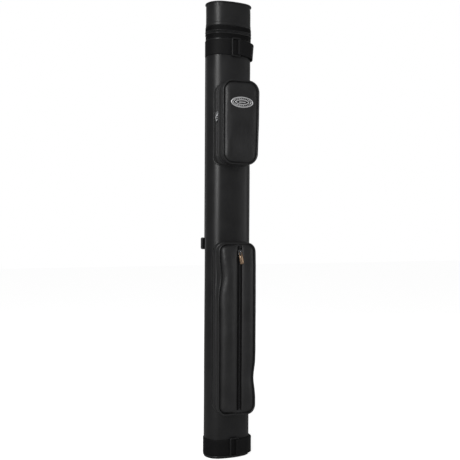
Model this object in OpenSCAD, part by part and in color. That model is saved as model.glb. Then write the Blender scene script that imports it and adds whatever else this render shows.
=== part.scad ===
// Hard cue case for two butts and two shafts.
// The tube stands upright on its base, with a zipped lid on top, two zipped pockets on the
// front, and a webbing carrying strap that cinches round both ends and runs down the back.
// +Z is up, the pockets face -Y, and the origin is the centre of the oval section on the base.

/* [Case] */
// Height of the whole case, base to lid top
case_h = 860; // [840:1:880]
// Width of the oval section, along X
case_w = 88.3; // [86:0.1:92]
// Depth of the oval section, along Y
case_d = 56; // [55:0.1:58]
// Radius of the section's rounded ends
end_r = 26; // [25:0.1:26.5]
// Thickness of the leatherette cover
cover_t = 0.8; // [0.6:0.1:1]
// Wall of the hard tube under the cover
shell_t = 2.15; // [2:0.05:2.3]
// Height of the zip line that parts the lid from the body
zip_z = 802.5; // [795:0.5:806]

/* [Cue tubes] */
// Inner radius of each butt tube
butt_r = 15.6; // [15:0.1:15.6]
// Inner radius of each shaft tube
shaft_r = 10.8; // [10.2:0.1:10.8]
// Distance of the butt tubes from the middle, along X
butt_x = 24.6; // [24.4:0.1:24.7]
// Distance of the shaft tubes from the middle, along Y
shaft_y = 13.3; // [13.2:0.1:13.4]
// Height of the tubes' mouths
tube_top = 770; // [740:1:785]

/* [Upper pocket] */
// Middle of the upper pocket, along X
up_x = 0.5; // [-1:0.1:1]
// Half width of the upper pocket's side walls
up_half = 35.3; // [33:0.1:36]
// Bottom of the upper pocket
up_low = 552.5; // [540:0.5:565]
// Top of the upper pocket
up_high = 705; // [690:0.5:715]
// Corner radius of the upper pocket
up_r = 20; // [12:1:24]
// Front of the upper pocket, measured from the middle of the case
up_front = 63; // [56:0.5:68]
// Depth of the upper pocket's zip line, from the middle of the case
up_seam = 34.75; // [33:0.25:40]
// Height of the upper pocket's zip slider
up_slider_z = 645; // [600:1:670]

/* [Lower pocket] */
// Half width of the lower pocket's side walls
low_half = 36.2; // [33:0.1:37]
// Bottom of the lower pocket
low_low = 90.5; // [80:0.5:110]
// Top of the lower pocket
low_high = 404; // [380:0.5:420]
// Corner radius of the lower pocket
low_r = 15; // [10:1:20]
// Front of the lower pocket, measured from the middle of the case
low_front = 50.5; // [44:0.5:54]
// Half of the gap that the lower pocket's zip shows in
low_gap = 4.6; // [4.4:0.1:6]
// Middle of the lower pocket's zip, along X
low_zip_x = 5; // [-8:0.5:8]
// Height of the lower pocket's zip slider
low_slider_z = 388; // [370:1:390]
// Tilt of the lower pocket's pull tag
tag_tilt = 9; // [0:1:12]

/* [Carrying strap] */
// Width of the webbing
web_w = 29; // [25:0.5:30]
// Thickness of the webbing
web_t = 1.6; // [1.2:0.1:1.8]
// Bottom edge of the band round the top of the case
band_high_z = 759.5; // [750:0.5:760]
// Bottom edge of the band round the base
band_low_z = 5.8; // [5.8:0.1:8]
// Middle of the strap down the back, along X
strap_x = -19.3; // [-20:0.1:-10]
// Height of the strap's slider
strap_slider_z = 403; // [300:1:500]

/* [Hidden] */

half_d = case_d / 2;
end_x = case_w / 2 - end_r;
face_r = (end_x * end_x + half_d * half_d - end_r * end_r) / (2 * (half_d - end_r));
face_y = face_r - half_d;
end_angle = atan2(face_y, end_x);
end_steps = 20;
face_steps = 6;

leather = [0.13, 0.13, 0.135];
webbing = [0.07, 0.07, 0.075];
plastic = [0.05, 0.05, 0.055];
foam = [0.25, 0.25, 0.27];
steel = [0.75, 0.76, 0.78];
brass = [0.62, 0.46, 0.22];
lining = [0.3, 0.3, 0.33];

gap = 0.15;            // room between neighbours that are glued or sewn together
shell_out = -cover_t - 0.05;
shell_in = shell_out - shell_t;
base_t = 2;            // thickness of the base plate
base_h = 14;           // height of the base cap's plug
pad_top = 20;
body_top = zip_z - 2.5;
body_edge = zip_z - 9; // top edge of the body's cover, under the zip tape
lid_edge = zip_z + 2.4;
tape_out = 1;          // how far the zip's binding stands proud of the cover
coil_out = 1.15;
coil_t = 1.8;
parting = 0.4;         // gap between the two halves of a zip
rear_cut = 22.5;       // the zip stops here and the hinge takes over
welt = 1.6;            // how far a piping stands proud
lid_top = case_h - 0.7;
lid_cover_t = 1.2;
wall = 1.6;            // thickness of the pockets' walls and panels
corner_steps = 8;
mast = 900;            // longer than the case, for cutting tools
reach = 60;            // wider than the case, for cutting tools
tube_t = 0.55;
web_lift = 0.3;        // webbing lies this far off the cover
ring_t = 2.6;
ring_x = 3.3;
ring_w = 18.7;
ring_bar = 3;
tail_x = 20.4;         // centre of the tail's turn round the right end
tail_y = 1.2;
tail_r = 30.2;
tail_y_rear = tail_y + tail_r;
tail_start_y = -(half_d + web_lift + web_t + 0.4 + ring_t + 0.2 + web_t / 2);
strap_y = tail_y_rear + web_t / 2 + 0.2;
slider_bar = 4.4;
slider_h = 23;
slider_rail = 6;
lid_slider_angle = 35;
lid_slider_lift = 0.45; // room for the lid's coil, which swings out a little as the lid opens
lid_pull_len = 10;
up_pull_len = 13;
low_pull_len = 21;

// ---------------------------------------------------------------- shapes used throughout

// Points along an arc about c, without its first and last when skip is 1
function arc(c, r, from, to, steps, skip = 0) =
    [for (i = [skip : steps - skip]) let (a = from + (to - from) * i / steps)
        c + r * [cos(a), sin(a)]];

// The case's section, grown outwards by g: two broad faces and two round ends
function oval(g) = concat(
    arc([end_x, 0], end_r + g, -end_angle, end_angle, end_steps),
    arc([0, -face_y], face_r + g, end_angle, 180 - end_angle, face_steps, 1),
    arc([-end_x, 0], end_r + g, 180 - end_angle, 180 + end_angle, end_steps),
    arc([0, face_y], face_r + g, 180 + end_angle, 360 - end_angle, face_steps, 1));

// A pocket's outline seen from the front, grown outwards by g
function outline(x, half, low, high, r, g) = concat(
    arc([x + half - r, low + r], r + g, -90, 0, corner_steps),
    arc([x + half - r, high - r], r + g, 0, 90, corner_steps),
    arc([x - half + r, high - r], r + g, 90, 180, corner_steps),
    arc([x - half + r, low + r], r + g, 180, 270, corner_steps));
function upper(g) = outline(up_x, up_half, up_low, up_high, up_r, g);
function lower(g) = outline(0, low_half, low_low, low_high, low_r, g);

// A strip of thickness t along a path
function leftward(path, i) = let (
    a = path[max(i - 1, 0)], b = path[min(i + 1, len(path) - 1)], d = (b - a) / norm(b - a))
    [-d[1], d[0]];
function ribbon(path, t) = concat(
    [for (i = [0 : len(path) - 1]) path[i] + leftward(path, i) * t / 2],
    [for (i = [len(path) - 1 : -1 : 0]) path[i] - leftward(path, i) * t / 2]);

module slab(g, z0, z1) translate([0, 0, z0]) linear_extrude(z1 - z0) polygon(oval(g));

module sleeve(g0, g1, z0, z1)
    translate([0, 0, z0]) linear_extrude(z1 - z0) difference() {
        polygon(oval(g1));
        polygon(oval(g0));
    }

// Stands a flat shape up so that it faces -Y and runs from depth y0 to depth y1
module facing(y0, y1) translate([0, -y0, 0]) rotate([90, 0, 0]) linear_extrude(y1 - y0) children();

// The part of the section that the zip runs round, and the part behind it that the hinge takes
module zip_side() translate([-reach, -reach, 0]) cube([2 * reach, reach + rear_cut, mast]);
module hinge_side() translate([-reach, rear_cut + gap, 0]) cube([2 * reach, reach, mast]);

// ---------------------------------------------------------------- body

module base_cap() color(plastic) {
    slab(0, 0, base_t);
    slab(shell_in - gap, base_t, base_h);
}

module base_pad() color(foam) slab(shell_in - 0.4, base_h + gap, pad_top);

module base_piping() color(leather) sleeve(gap, welt, base_t + gap, base_t + 3.2);

module tube_shell() color(plastic) sleeve(shell_in, shell_out, base_t + gap, body_top);

module body_cover() color(leather) sleeve(-cover_t, 0, base_t + gap, body_edge);

module rim_binding() color(leather)
    sleeve(shell_in - 0.4, -gap, body_top + gap, body_top + 1.3);

module cue_tube(x, y, r) color(lining) translate([x, y, pad_top + gap]) difference() {
    cylinder(r = r + tube_t, h = tube_top - pad_top - gap, $fn = 72);
    translate([0, 0, -1]) cylinder(r = r, h = tube_top, $fn = 72);
}

module butt_tube_left() cue_tube(-butt_x, 0, butt_r);
module butt_tube_right() cue_tube(butt_x, 0, butt_r);
module shaft_tube_front() cue_tube(0, -shaft_y, shaft_r);
module shaft_tube_rear() cue_tube(0, shaft_y, shaft_r);

module tube_spacer(z0, z1) color(foam) difference() {
    slab(shell_in - gap, z0, z1);
    for (side = [-1, 1]) {
        translate([side * butt_x, 0, z0 - 1])
            cylinder(r = butt_r + tube_t + 0.05, h = z1 - z0 + 2, $fn = 72);
        translate([0, side * shaft_y, z0 - 1])
            cylinder(r = shaft_r + tube_t + 0.05, h = z1 - z0 + 2, $fn = 72);
    }
}

module tube_spacer_low() tube_spacer(pad_top + 4, pad_top + 16);
module tube_spacer_high() tube_spacer(tube_top - 14, tube_top - 2);

module body_zip_tape() color(webbing) intersection() {
    sleeve(gap, tape_out, body_edge, body_top);
    zip_side();
}

module body_zip_coil() color(plastic) intersection() {
    sleeve(gap, coil_out, zip_z - parting / 2 - coil_t, zip_z - parting / 2);
    zip_side();
}

module body_hinge_leaf() color(leather) intersection() {
    sleeve(gap, tape_out, body_edge, zip_z - 0.6);
    hinge_side();
}

// ---------------------------------------------------------------- lid

module lid_shell() color(plastic) difference() {
    slab(shell_out, zip_z + 1.2, lid_top - lid_cover_t - 0.1);
    slab(shell_in, zip_z, lid_top - lid_cover_t - 2.6);
}

module lid_cover() color(leather) difference() {
    slab(0, lid_edge, lid_top);
    slab(-cover_t, lid_edge - 1, lid_top - lid_cover_t);
}

module lid_pad() color(foam)
    slab(shell_in - 0.3, lid_top - lid_cover_t - 7.2, lid_top - lid_cover_t - 2.75);

module lid_piping() color(leather) sleeve(gap, welt, case_h - 3, case_h);

module lid_zip_tape() color(webbing) intersection() {
    sleeve(gap, tape_out, lid_edge, zip_z + 12.5);
    zip_side();
}

module lid_zip_coil() color(plastic) intersection() {
    sleeve(gap, coil_out, zip_z + parting / 2, zip_z + parting / 2 + coil_t);
    zip_side();
}

module lid_hinge_leaf() color(leather) intersection() {
    sleeve(gap, tape_out, zip_z + 0.6, zip_z + 12.5);
    hinge_side();
}

// ---------------------------------------------------------------- zip sliders and pulls
// Each is drawn facing -Y, with the zip's outer face on y = 0 and the zip running along Z.

plate_w = 7.8;
plate_l = 9.6;
plate_y = 0.35;
plate_t = 1;
bridge_w = 1.8;
bridge_l = 7;
bridge_h = 3;
slot_l = 4.2;
slot_h = 1.9;
bar_r = 0.65;
bar_y = plate_y + plate_t + slot_h / 2;
bar_z = -0.9;
eye_half = 2.5;
arm_w = 1;

// Rectangle with rounded corners, centred on x, from z = low to high
function tag(half, low, high, r) = outline(0, half, low, high, r, 0);

module slider_shape() {
    facing(plate_y, plate_y + plate_t) difference() {
        polygon(tag(plate_w / 2, -plate_l / 2, plate_l / 2, 1.8));
        // notches where the zip's two sides part round the nose
        for (side = [-1, 1])
            translate([side * plate_w / 2, -plate_l / 2 + 2.6]) circle(r = 0.9, $fn = 24);
    }
    translate([-bridge_w / 2, 0, 0]) rotate([90, 0, 90]) linear_extrude(bridge_w) difference() {
        translate([-plate_y - plate_t - bridge_h, -bridge_l / 2]) square([bridge_h + 0.1, bridge_l]);
        translate([-plate_y - plate_t - slot_h, -slot_l / 2]) square([slot_h, slot_l]);
    }
}

// The pull hangs from a bar under the slider's bridge
module pull_shape(length, half, thickness) translate([0, -bar_y, bar_z]) {
    translate([-eye_half - arm_w / 2, 0, 0]) rotate([0, 90, 0])
        cylinder(r = bar_r, h = 2 * eye_half + arm_w, $fn = 24);
    for (side = [-1, 1])
        translate([side * eye_half - arm_w / 2, -bar_r, -5.6]) cube([arm_w, 2 * bar_r, 5.6]);
    translate([0, thickness / 2, 0]) facing(0, thickness) polygon(tag(half, -length, -4.6, 1.2));
}

// The upper pocket's pull is an open ring
module ring_pull_shape(length, half, thickness) difference() {
    pull_shape(length, half, thickness);
    translate([0, -bar_y + thickness, bar_z]) facing(0, 2 * thickness)
        polygon(tag(half - 1.3, -length + 1.4, -6.2, 1.1));
}

module on_lid_zip() translate([end_x, 0, 0]) rotate([0, 0, lid_slider_angle + 90])
    translate([0, -end_r - coil_out - lid_slider_lift, zip_z]) children();

module lid_zip_slider() color(plastic) on_lid_zip() slider_shape();
module lid_zip_pull() color(plastic) on_lid_zip() pull_shape(lid_pull_len, 2.6, 1.2);

// ---------------------------------------------------------------- pockets

// The side wall of a pocket, from its zip or front edge back to the case
module pocket_wall(out, in, y1) difference() {
    facing(0, y1) difference() {
        polygon(out);
        polygon(in);
    }
    slab(gap, 0, mast);
}

// A strip that lies on the case's curved front, between two outlines
module on_face(out, in, g0, g1) intersection() {
    facing(0, reach) difference() {
        polygon(out);
        polygon(in);
    }
    sleeve(g0, g1, 1, mast);
}

module lining_on_face(out, g0, g1) intersection() {
    facing(0, reach) polygon(out);
    sleeve(g0, g1, 1, mast);
}

module upper_pocket_flange() color(leather) on_face(upper(2.6), upper(gap), gap, welt);
module upper_pocket_lining() color(lining) lining_on_face(upper(-wall - gap), gap, 0.8);
module upper_pocket_gusset() color(leather) pocket_wall(upper(0), upper(-wall), up_seam - 1.35);

module seam_ring(y0, y1, out, in) facing(y0, y1) difference() {
    polygon(upper(out));
    polygon(upper(in));
}

hinge_top = up_low + up_r;
module above_hinge() translate([-reach, -reach * 2, hinge_top]) cube([2 * reach, 2 * reach, mast]);
module below_hinge() translate([-reach, -reach * 2, 0]) cube([2 * reach, 2 * reach, hinge_top - gap]);

module upper_pocket_coil() color(plastic) intersection() {
    seam_ring(up_seam - 1.2, up_seam - parting / 2, 0.6, -1.2);
    above_hinge();
}

module upper_door_coil() color(plastic) intersection() {
    seam_ring(up_seam + parting / 2, up_seam + 1.2, 0.6, -1.2);
    above_hinge();
}

module upper_pocket_hinge_leaf() color(leather) intersection() {
    seam_ring(up_seam - 1.2, up_seam - parting / 2, 0.6, -1.2);
    below_hinge();
}

module upper_door_hinge_leaf() color(leather) intersection() {
    seam_ring(up_seam + parting / 2, up_seam + 1.2, 0.6, -1.2);
    below_hinge();
}

panel_back = up_front - 1.9;
badge_z = 665;
badge_x = 1.6;
badge_half_w = 22.5;
badge_half_h = 10.2;
badge_t = 1.6;
pin_x = 14;
pin_r = 1;

module upper_door_gusset() color(leather) seam_ring(up_seam + 1.35, panel_back - gap, 0, -wall);

module upper_door_panel() color(leather) difference() {
    facing(panel_back, up_front) polygon(upper(0));
    badge_holes(pin_r + 0.1);
}

module upper_door_piping() color(leather) seam_ring(up_front - 3.4, up_front + 0.6, 1.3, gap);

module badge_holes(r) for (side = [-1, 1])
    translate([badge_x + side * pin_x, -up_front + 4, badge_z]) rotate([90, 0, 0])
        cylinder(r = r, h = 4 + gap, $fn = 24);

module badge() color(steel)
    facing(up_front + gap, up_front + gap + badge_t) translate([badge_x, badge_z])
        polygon([for (i = [0 : 47]) [badge_half_w * cos(i * 7.5), badge_half_h * sin(i * 7.5)]]);

module badge_pins() color(steel) badge_holes(pin_r);

module on_upper_zip() translate([up_x - up_half - 0.6, -up_seam, up_slider_z]) rotate([0, 0, -90])
    children();

module upper_zip_slider() color(steel) on_upper_zip() slider_shape();
module upper_zip_pull() color(steel) on_upper_zip() ring_pull_shape(up_pull_len, 3.4, 1.2);

low_back = low_front - 1.8;
tape_front = low_back - gap;
tape_half = 12;
tape_t = 0.7;
coil_half = 1.5;
coil_front = low_front - 1.0;
zip_low = low_low + 4;
zip_high = low_high - 4;

module lower_pocket_flange() color(leather) on_face(lower(2.2), lower(gap), gap, welt);
module lower_pocket_lining() color(lining) lining_on_face(lower(-wall - gap), gap, 0.8);
module lower_pocket_gusset() color(leather) pocket_wall(lower(0), lower(-wall), low_back - gap);

// One half of the front panel, on the left (-1) or the right (1) of the zip
module lower_panel(side) color(leather) intersection() {
    facing(low_back, low_front) polygon(lower(0));
    translate([low_zip_x + side * (low_gap + reach), 0, mast / 2])
        cube([2 * reach, 2 * reach, mast], center = true);
}

module lower_panel_left() lower_panel(-1);
module lower_panel_right() lower_panel(1);

module lower_pocket_piping() color(leather) facing(low_front - 3.4, low_front + 0.5) difference() {
    polygon(lower(1.4));
    polygon(lower(gap));
}

module lower_zip_tapes() color(webbing) for (side = [-1, 1])
    facing(tape_front - tape_t, tape_front)
        translate([low_zip_x + side * (tape_half + coil_half + 0.1) / 2, 0])
            polygon(outline(0, (tape_half - coil_half - 0.1) / 2, zip_low, zip_high, 0.5, 0));

module lower_zip_coil() color(plastic)
    facing(tape_front - 1.4, coil_front) polygon(outline(low_zip_x, coil_half, zip_low, zip_high, 0.6, 0));

module lower_zip_stops() color(steel) for (z = [zip_low + 1, zip_high - 3])
    facing(coil_front + 0.05, coil_front + 0.9)
        polygon(outline(low_zip_x, coil_half, z, z + 2, 0.5, 0));

module on_lower_zip() translate([low_zip_x, -coil_front, low_slider_z]) children();

module lower_zip_slider() color(steel) on_lower_zip() slider_shape();
module lower_zip_pull() color(brass) on_lower_zip()
    translate([0, 0, bar_z]) rotate([0, -tag_tilt, 0]) translate([0, 0, -bar_z])
        pull_shape(low_pull_len, 3.6, 1.2);

// ---------------------------------------------------------------- carrying strap

module band(z) color(webbing) sleeve(web_lift, web_lift + web_t, z, z + web_w);

// A moulded loop that the band's end is sewn to and its tail passes through
module loop_ring(z) color(plastic)
    facing(half_d + web_lift + web_t + 0.4, half_d + web_lift + web_t + 0.4 + ring_t) difference() {
        polygon(outline(ring_x, ring_w / 2, z - 3.4, z + web_w + 3.4, 2.4, 0));
        polygon(outline(ring_x, ring_w / 2 - ring_bar, z - 0.5, z + web_w + 0.5, 0.8, 0));
    }

// From the ring the tail lies back over the band, stands a little off the right end and
// ends behind the case, where the shoulder strap is sewn to it
tail_path = concat(
    [[ring_x + 4.2, tail_start_y], [ring_x + 11.5, tail_start_y]],
    arc([tail_x, tail_y], tail_r, -76, 90, 16),
    [[strap_x - web_w / 2, tail_y_rear]]);

module band_tail(z) color(webbing)
    translate([0, 0, z]) linear_extrude(web_w) polygon(ribbon(tail_path, web_t));

module upper_band() band(band_high_z);
module upper_ring() loop_ring(band_high_z);
module upper_band_tail() band_tail(band_high_z);
module lower_band() band(band_low_z);
module lower_ring() loop_ring(band_low_z);
module lower_band_tail() band_tail(band_low_z);

module back_webbing(z0, z1, y) color(webbing) translate([strap_x - web_w / 2, y, z0])
    cube([web_w, web_t, z1 - z0]);

module shoulder_strap() back_webbing(band_low_z + 2, band_high_z + web_w - 2, strap_y);

// Above its slider the strap is doubled
module strap_return() back_webbing(strap_slider_z - 6, band_high_z + web_w - 4, strap_y + web_t + 0.2);

slider_in = strap_y - 0.3;
slider_out = strap_y + 2 * web_t + 0.5;

// Two bars pass behind the webbing and one passes over it
module strap_slider() color(plastic) translate([strap_x, 0, strap_slider_z]) {
    for (side = [-1, 1])
        translate([side * (web_w / 2 + slider_rail / 2 + 0.5), slider_out + 2.4, 0])
            facing(0, slider_out - slider_in + 4.8)
                polygon(tag(slider_rail / 2, -slider_h / 2, slider_h / 2, 2.2));
    for (z = [-slider_h / 2, slider_h / 2 - slider_bar])
        translate([-web_w / 2 - 1, slider_in - 2.4, z]) cube([web_w + 2, 2.4, slider_bar]);
    translate([-web_w / 2 - 1, slider_out, -slider_bar / 2]) cube([web_w + 2, 2.4, slider_bar]);
}

// ---------------------------------------------------------------- nodes

base_cap();
base_pad();
base_piping();
tube_shell();
body_cover();
rim_binding();
butt_tube_left();
butt_tube_right();
shaft_tube_front();
shaft_tube_rear();
tube_spacer_low();
tube_spacer_high();
body_zip_tape();
body_zip_coil();
body_hinge_leaf();
lid_shell();
lid_cover();
lid_pad();
lid_piping();
lid_zip_tape();
lid_zip_coil();
lid_hinge_leaf();
lid_zip_slider();
lid_zip_pull();
upper_pocket_flange();
upper_pocket_lining();
upper_pocket_gusset();
upper_pocket_coil();
upper_pocket_hinge_leaf();
upper_door_coil();
upper_door_hinge_leaf();
upper_door_gusset();
upper_door_panel();
upper_door_piping();
badge();
badge_pins();
upper_zip_slider();
upper_zip_pull();
lower_pocket_flange();
lower_pocket_lining();
lower_pocket_gusset();
lower_panel_left();
lower_panel_right();
lower_pocket_piping();
lower_zip_tapes();
lower_zip_coil();
lower_zip_stops();
lower_zip_slider();
lower_zip_pull();
upper_band();
upper_ring();
upper_band_tail();
lower_band();
lower_ring();
lower_band_tail();
shoulder_strap();
strap_return();
strap_slider();
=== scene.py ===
"""The cue case's looks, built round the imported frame: leatherette covers with piping and hems, coil
zips, padded pockets, woven webbing and metal fittings. Lengths here are millimetres until a mesh is
made; s runs round the case's section from the middle of its back by way of the left end."""
import math

import bpy
import bmesh
import numpy as np
from mathutils.bvhtree import BVHTree
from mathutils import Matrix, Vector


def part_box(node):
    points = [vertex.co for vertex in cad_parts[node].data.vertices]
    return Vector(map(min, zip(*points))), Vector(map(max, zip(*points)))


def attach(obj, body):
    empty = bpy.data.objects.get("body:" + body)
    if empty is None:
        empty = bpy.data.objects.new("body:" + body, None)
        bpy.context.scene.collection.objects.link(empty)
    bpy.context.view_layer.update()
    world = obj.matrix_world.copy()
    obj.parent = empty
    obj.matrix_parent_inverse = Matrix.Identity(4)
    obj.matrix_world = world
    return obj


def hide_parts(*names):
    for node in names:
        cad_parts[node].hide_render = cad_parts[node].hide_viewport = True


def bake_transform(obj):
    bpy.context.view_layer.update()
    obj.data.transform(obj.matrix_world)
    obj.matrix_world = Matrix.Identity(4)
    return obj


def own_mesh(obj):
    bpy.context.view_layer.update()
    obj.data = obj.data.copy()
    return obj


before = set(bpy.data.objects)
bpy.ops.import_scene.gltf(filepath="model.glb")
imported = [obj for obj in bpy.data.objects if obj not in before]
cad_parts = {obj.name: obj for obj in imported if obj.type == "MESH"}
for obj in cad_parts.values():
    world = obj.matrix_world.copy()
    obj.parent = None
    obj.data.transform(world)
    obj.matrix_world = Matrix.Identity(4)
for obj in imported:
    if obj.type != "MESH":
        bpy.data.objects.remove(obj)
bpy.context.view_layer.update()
MM = 0.001


def node_box(node):
    """A CAD node's lowest and highest corners, in millimetres."""
    return [np.array(corner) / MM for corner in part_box(node)]


def node_middle(node):
    """A CAD node's middle and half sizes, in millimetres."""
    low, high = node_box(node)
    return (low + high) / 2, (high - low) / 2


def spots(x, y, z):
    """Points whose coordinates are numbers or arrays of one shape."""
    return np.stack(np.broadcast_arrays(x, y, z), -1)


def facing(way, count):
    """The same direction at each of count points."""
    return np.tile(np.array(way, float), (count, 1))


TO_FRONT, TO_REAR, UP = (0, -1, 0), (0, 1, 0), (0, 0, 1)


# ---------------------------------------------------------------- driving dimensions

END_R = 26.0                                   # radius of the section's two round ends
HALF_W, HALF_D, COVER_TOP = node_box("body_cover")[1]
COVER_LOW = node_box("body_cover")[0][2]
CASE_TOP = node_box("lid_piping")[1][2]
LID_EDGE = node_box("lid_cover")[0][2]
LID_TOP = node_box("lid_cover")[1][2]
TAPE_TOP = node_box("lid_zip_tape")[1][2]      # upper edge of the lid's zip tape
TAPE_LOW = node_box("body_zip_tape")[0][2]     # lower edge of the body's zip tape
ZIP_Z = (node_box("body_zip_coil")[1][2] + node_box("lid_zip_coil")[0][2]) / 2
REAR_CUT = node_box("lid_zip_tape")[1][1]      # the zip ends here and the hinge takes over

END_X = HALF_W - END_R
FACE_R = (END_X ** 2 + HALF_D ** 2 - END_R ** 2) / (2 * (HALF_D - END_R))
FACE_Y = FACE_R - HALF_D
END_ANGLE = math.degrees(math.atan2(FACE_Y, END_X))
FACE_RUN = FACE_R * math.radians(90 - END_ANGLE)
END_RUN = 2 * END_R * math.radians(END_ANGLE)
S_KNOTS = np.cumsum([0, FACE_RUN, END_RUN, 2 * FACE_RUN, END_RUN, FACE_RUN])
PHI_KNOTS = np.array([90, 180 - END_ANGLE, 180 + END_ANGLE, 360 - END_ANGLE, 360 + END_ANGLE, 450])
ROUND = S_KNOTS[-1]                            # length once round the section


def pocket_of(node, corner):
    """A pocket's middle, half width, bottom, top and corner radius, from its side wall."""
    low, high = node_box(node)
    return (low[0] + high[0]) / 2, (high[0] - low[0]) / 2, low[2], high[2], corner


UPPER = pocket_of("upper_pocket_gusset", 20.0)
LOWER = pocket_of("lower_pocket_gusset", 15.0)
UP_SEAM = (node_box("upper_pocket_coil")[0][1] + node_box("upper_door_coil")[1][1]) / 2
UP_FRONT = node_box("upper_door_panel")[0][1]
LOW_FRONT = node_box("lower_panel_left")[0][1]
ZIP_X = (node_box("lower_zip_coil")[0][0] + node_box("lower_zip_coil")[1][0]) / 2
ZIP_GAP = node_box("lower_panel_right")[0][0] - ZIP_X


# ---------------------------------------------------------------- the section and the pockets' outlines

def section(s):
    """Base point and outward direction on the case's section."""
    s = np.asarray(s, float) % ROUND
    phi = np.radians(np.interp(s, S_KNOTS, PHI_KNOTS))
    part = np.clip(np.searchsorted(S_KNOTS, s, "right") - 1, 0, 4)
    cx = np.array([0, -END_X, 0, END_X, 0])[part]
    cy = np.array([-FACE_Y, 0, FACE_Y, 0, -FACE_Y])[part]
    r = np.array([FACE_R, END_R, FACE_R, END_R, FACE_R])[part]
    return cx + r * np.cos(phi), cy + r * np.sin(phi), np.cos(phi), np.sin(phi)


def wall(s, z, g):
    """Points g off the case's cover."""
    s, z, g = np.broadcast_arrays(np.asarray(s, float), z, g)
    x, y, nx, ny = section(s)
    return spots(x + g * nx, y + g * ny, z)


def outward(s):
    """Unit vectors away from the case."""
    _, _, nx, ny = section(s)
    return spots(nx, ny, 0.0)


def s_at(phi):
    return np.interp(phi, PHI_KNOTS, S_KNOTS)


def front_s(x):
    """Where a point of the front, x from the middle, lies round the section."""
    x = np.clip(np.asarray(x, float), -HALF_W, HALF_W)
    on_face = np.degrees(np.arcsin(np.clip(x / FACE_R, -1, 1)))
    on_end = np.degrees(np.arcsin(np.clip((x - np.sign(x) * END_X) / END_R, -1, 1)))
    face_half = FACE_R * math.cos(math.radians(END_ANGLE))
    return s_at(270 + np.where(np.abs(x) < face_half, on_face, on_end))


HINGE_PHI = math.degrees(math.asin(REAR_CUT / (END_R + 1)))
ZIP_FROM, ZIP_TO = s_at(180 - HINGE_PHI), s_at(360 + HINGE_PHI)


def outline(pocket, grow=0.0, step=2.5):
    """Points (x, z) and outward directions along a pocket's rounded outline."""
    x, half, low, high, r = pocket
    centres = [(x + half - r, low + r), (x + half - r, high - r), (x - half + r, high - r),
               (x - half + r, low + r)]
    points, ways = [], []
    for k, (cx, cz) in enumerate(centres):
        turn = np.radians(np.linspace(k * 90 - 90, k * 90, max(4, round(1.6 * r / step))))
        way = np.stack([np.cos(turn), np.sin(turn)], -1)
        arc = [cx, cz] + (r + grow) * way
        following = np.array(centres[(k + 1) % 4]) + (r + grow) * way[-1]
        count = max(2, round(np.linalg.norm(following - arc[-1]) / step))
        run = np.linspace(arc[-1], following, count + 1)[1:-1]
        points += [arc, run]
        ways += [way, np.repeat(way[-1:], len(run), 0)]
    return np.concatenate(points), np.concatenate(ways)


def waves(u, v, length, seed, count=6):
    """Smooth unevenness from -1 to 1 with features about length across."""
    source = np.random.default_rng(seed)
    total = 0
    for _ in range(count):
        angle, phase = source.uniform(0, 2 * math.pi, 2)
        stretch = source.uniform(0.7, 1.5)
        total = total + np.sin(2 * math.pi * (u * math.cos(angle) + v * math.sin(angle))
                               / (length * stretch) + phase)
    return total / math.sqrt(count) / 1.6


def bump_at(x, middle, width):
    return np.exp(-((x - middle) / width) ** 2)


# ---------------------------------------------------------------- materials

def node_material(name, colour, roughness, metallic=0.0, specular=0.5):
    material = bpy.data.materials.new(name)
    material.use_nodes = True
    shader = material.node_tree.nodes["Principled BSDF"]
    shader.inputs["Base Color"].default_value = (*colour, 1)
    shader.inputs["Roughness"].default_value = roughness
    shader.inputs["Metallic"].default_value = metallic
    shader.inputs["Specular IOR Level"].default_value = specular
    return material, material.node_tree, shader


def add_node(tree, kind, **settings):
    node = tree.nodes.new(kind)
    for key, value in settings.items():
        if key in node.inputs:
            node.inputs[key].default_value = value
        else:
            setattr(node, key, value)
    return node


def object_coords(tree):
    return add_node(tree, "ShaderNodeTexCoord").outputs["Object"]


def noise_of(tree, coords, scale, detail=3.0):
    node = add_node(tree, "ShaderNodeTexNoise", Scale=scale, Detail=detail)
    tree.links.new(coords, node.inputs["Vector"])
    return node.outputs["Fac"]


def ranged(tree, value, low, high, new_low, new_high):
    node = add_node(tree, "ShaderNodeMapRange")
    for key, number in zip(("From Min", "From Max", "To Min", "To Max"), (low, high, new_low, new_high)):
        node.inputs[key].default_value = number
    tree.links.new(value, node.inputs["Value"])
    return node.outputs["Result"]


def maths(tree, operation, a, b=None):
    node = add_node(tree, "ShaderNodeMath", operation=operation)
    for socket, value in zip(node.inputs, (a, b)):
        if isinstance(value, (int, float)):
            socket.default_value = value
        elif value is not None:
            tree.links.new(value, socket)
    return node.outputs[0]


def two_tone(tree, factor, dark, light):
    node = add_node(tree, "ShaderNodeMix", data_type="RGBA")
    node.inputs["A"].default_value = (*dark, 1)
    node.inputs["B"].default_value = (*light, 1)
    tree.links.new(factor, node.inputs["Factor"])
    return node.outputs["Result"]


def finished(tree, shader, colour, height, distance, strength, roughness=None):
    """Joins a colour, a bump of some depth and, where it varies, a roughness to the shader."""
    node = add_node(tree, "ShaderNodeBump", Distance=distance, Strength=strength)
    tree.links.new(height, node.inputs["Height"])
    tree.links.new(node.outputs["Normal"], shader.inputs["Normal"])
    tree.links.new(colour, shader.inputs["Base Color"])
    if roughness:
        tree.links.new(roughness, shader.inputs["Roughness"])


def worn(tree, base, amount):
    """Adds wear on raised edges to a 0 to 1 factor."""
    pointiness = add_node(tree, "ShaderNodeNewGeometry").outputs["Pointiness"]
    return maths(tree, "MAXIMUM", base, ranged(tree, pointiness, 0.51, 0.58, 0, amount))


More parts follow.
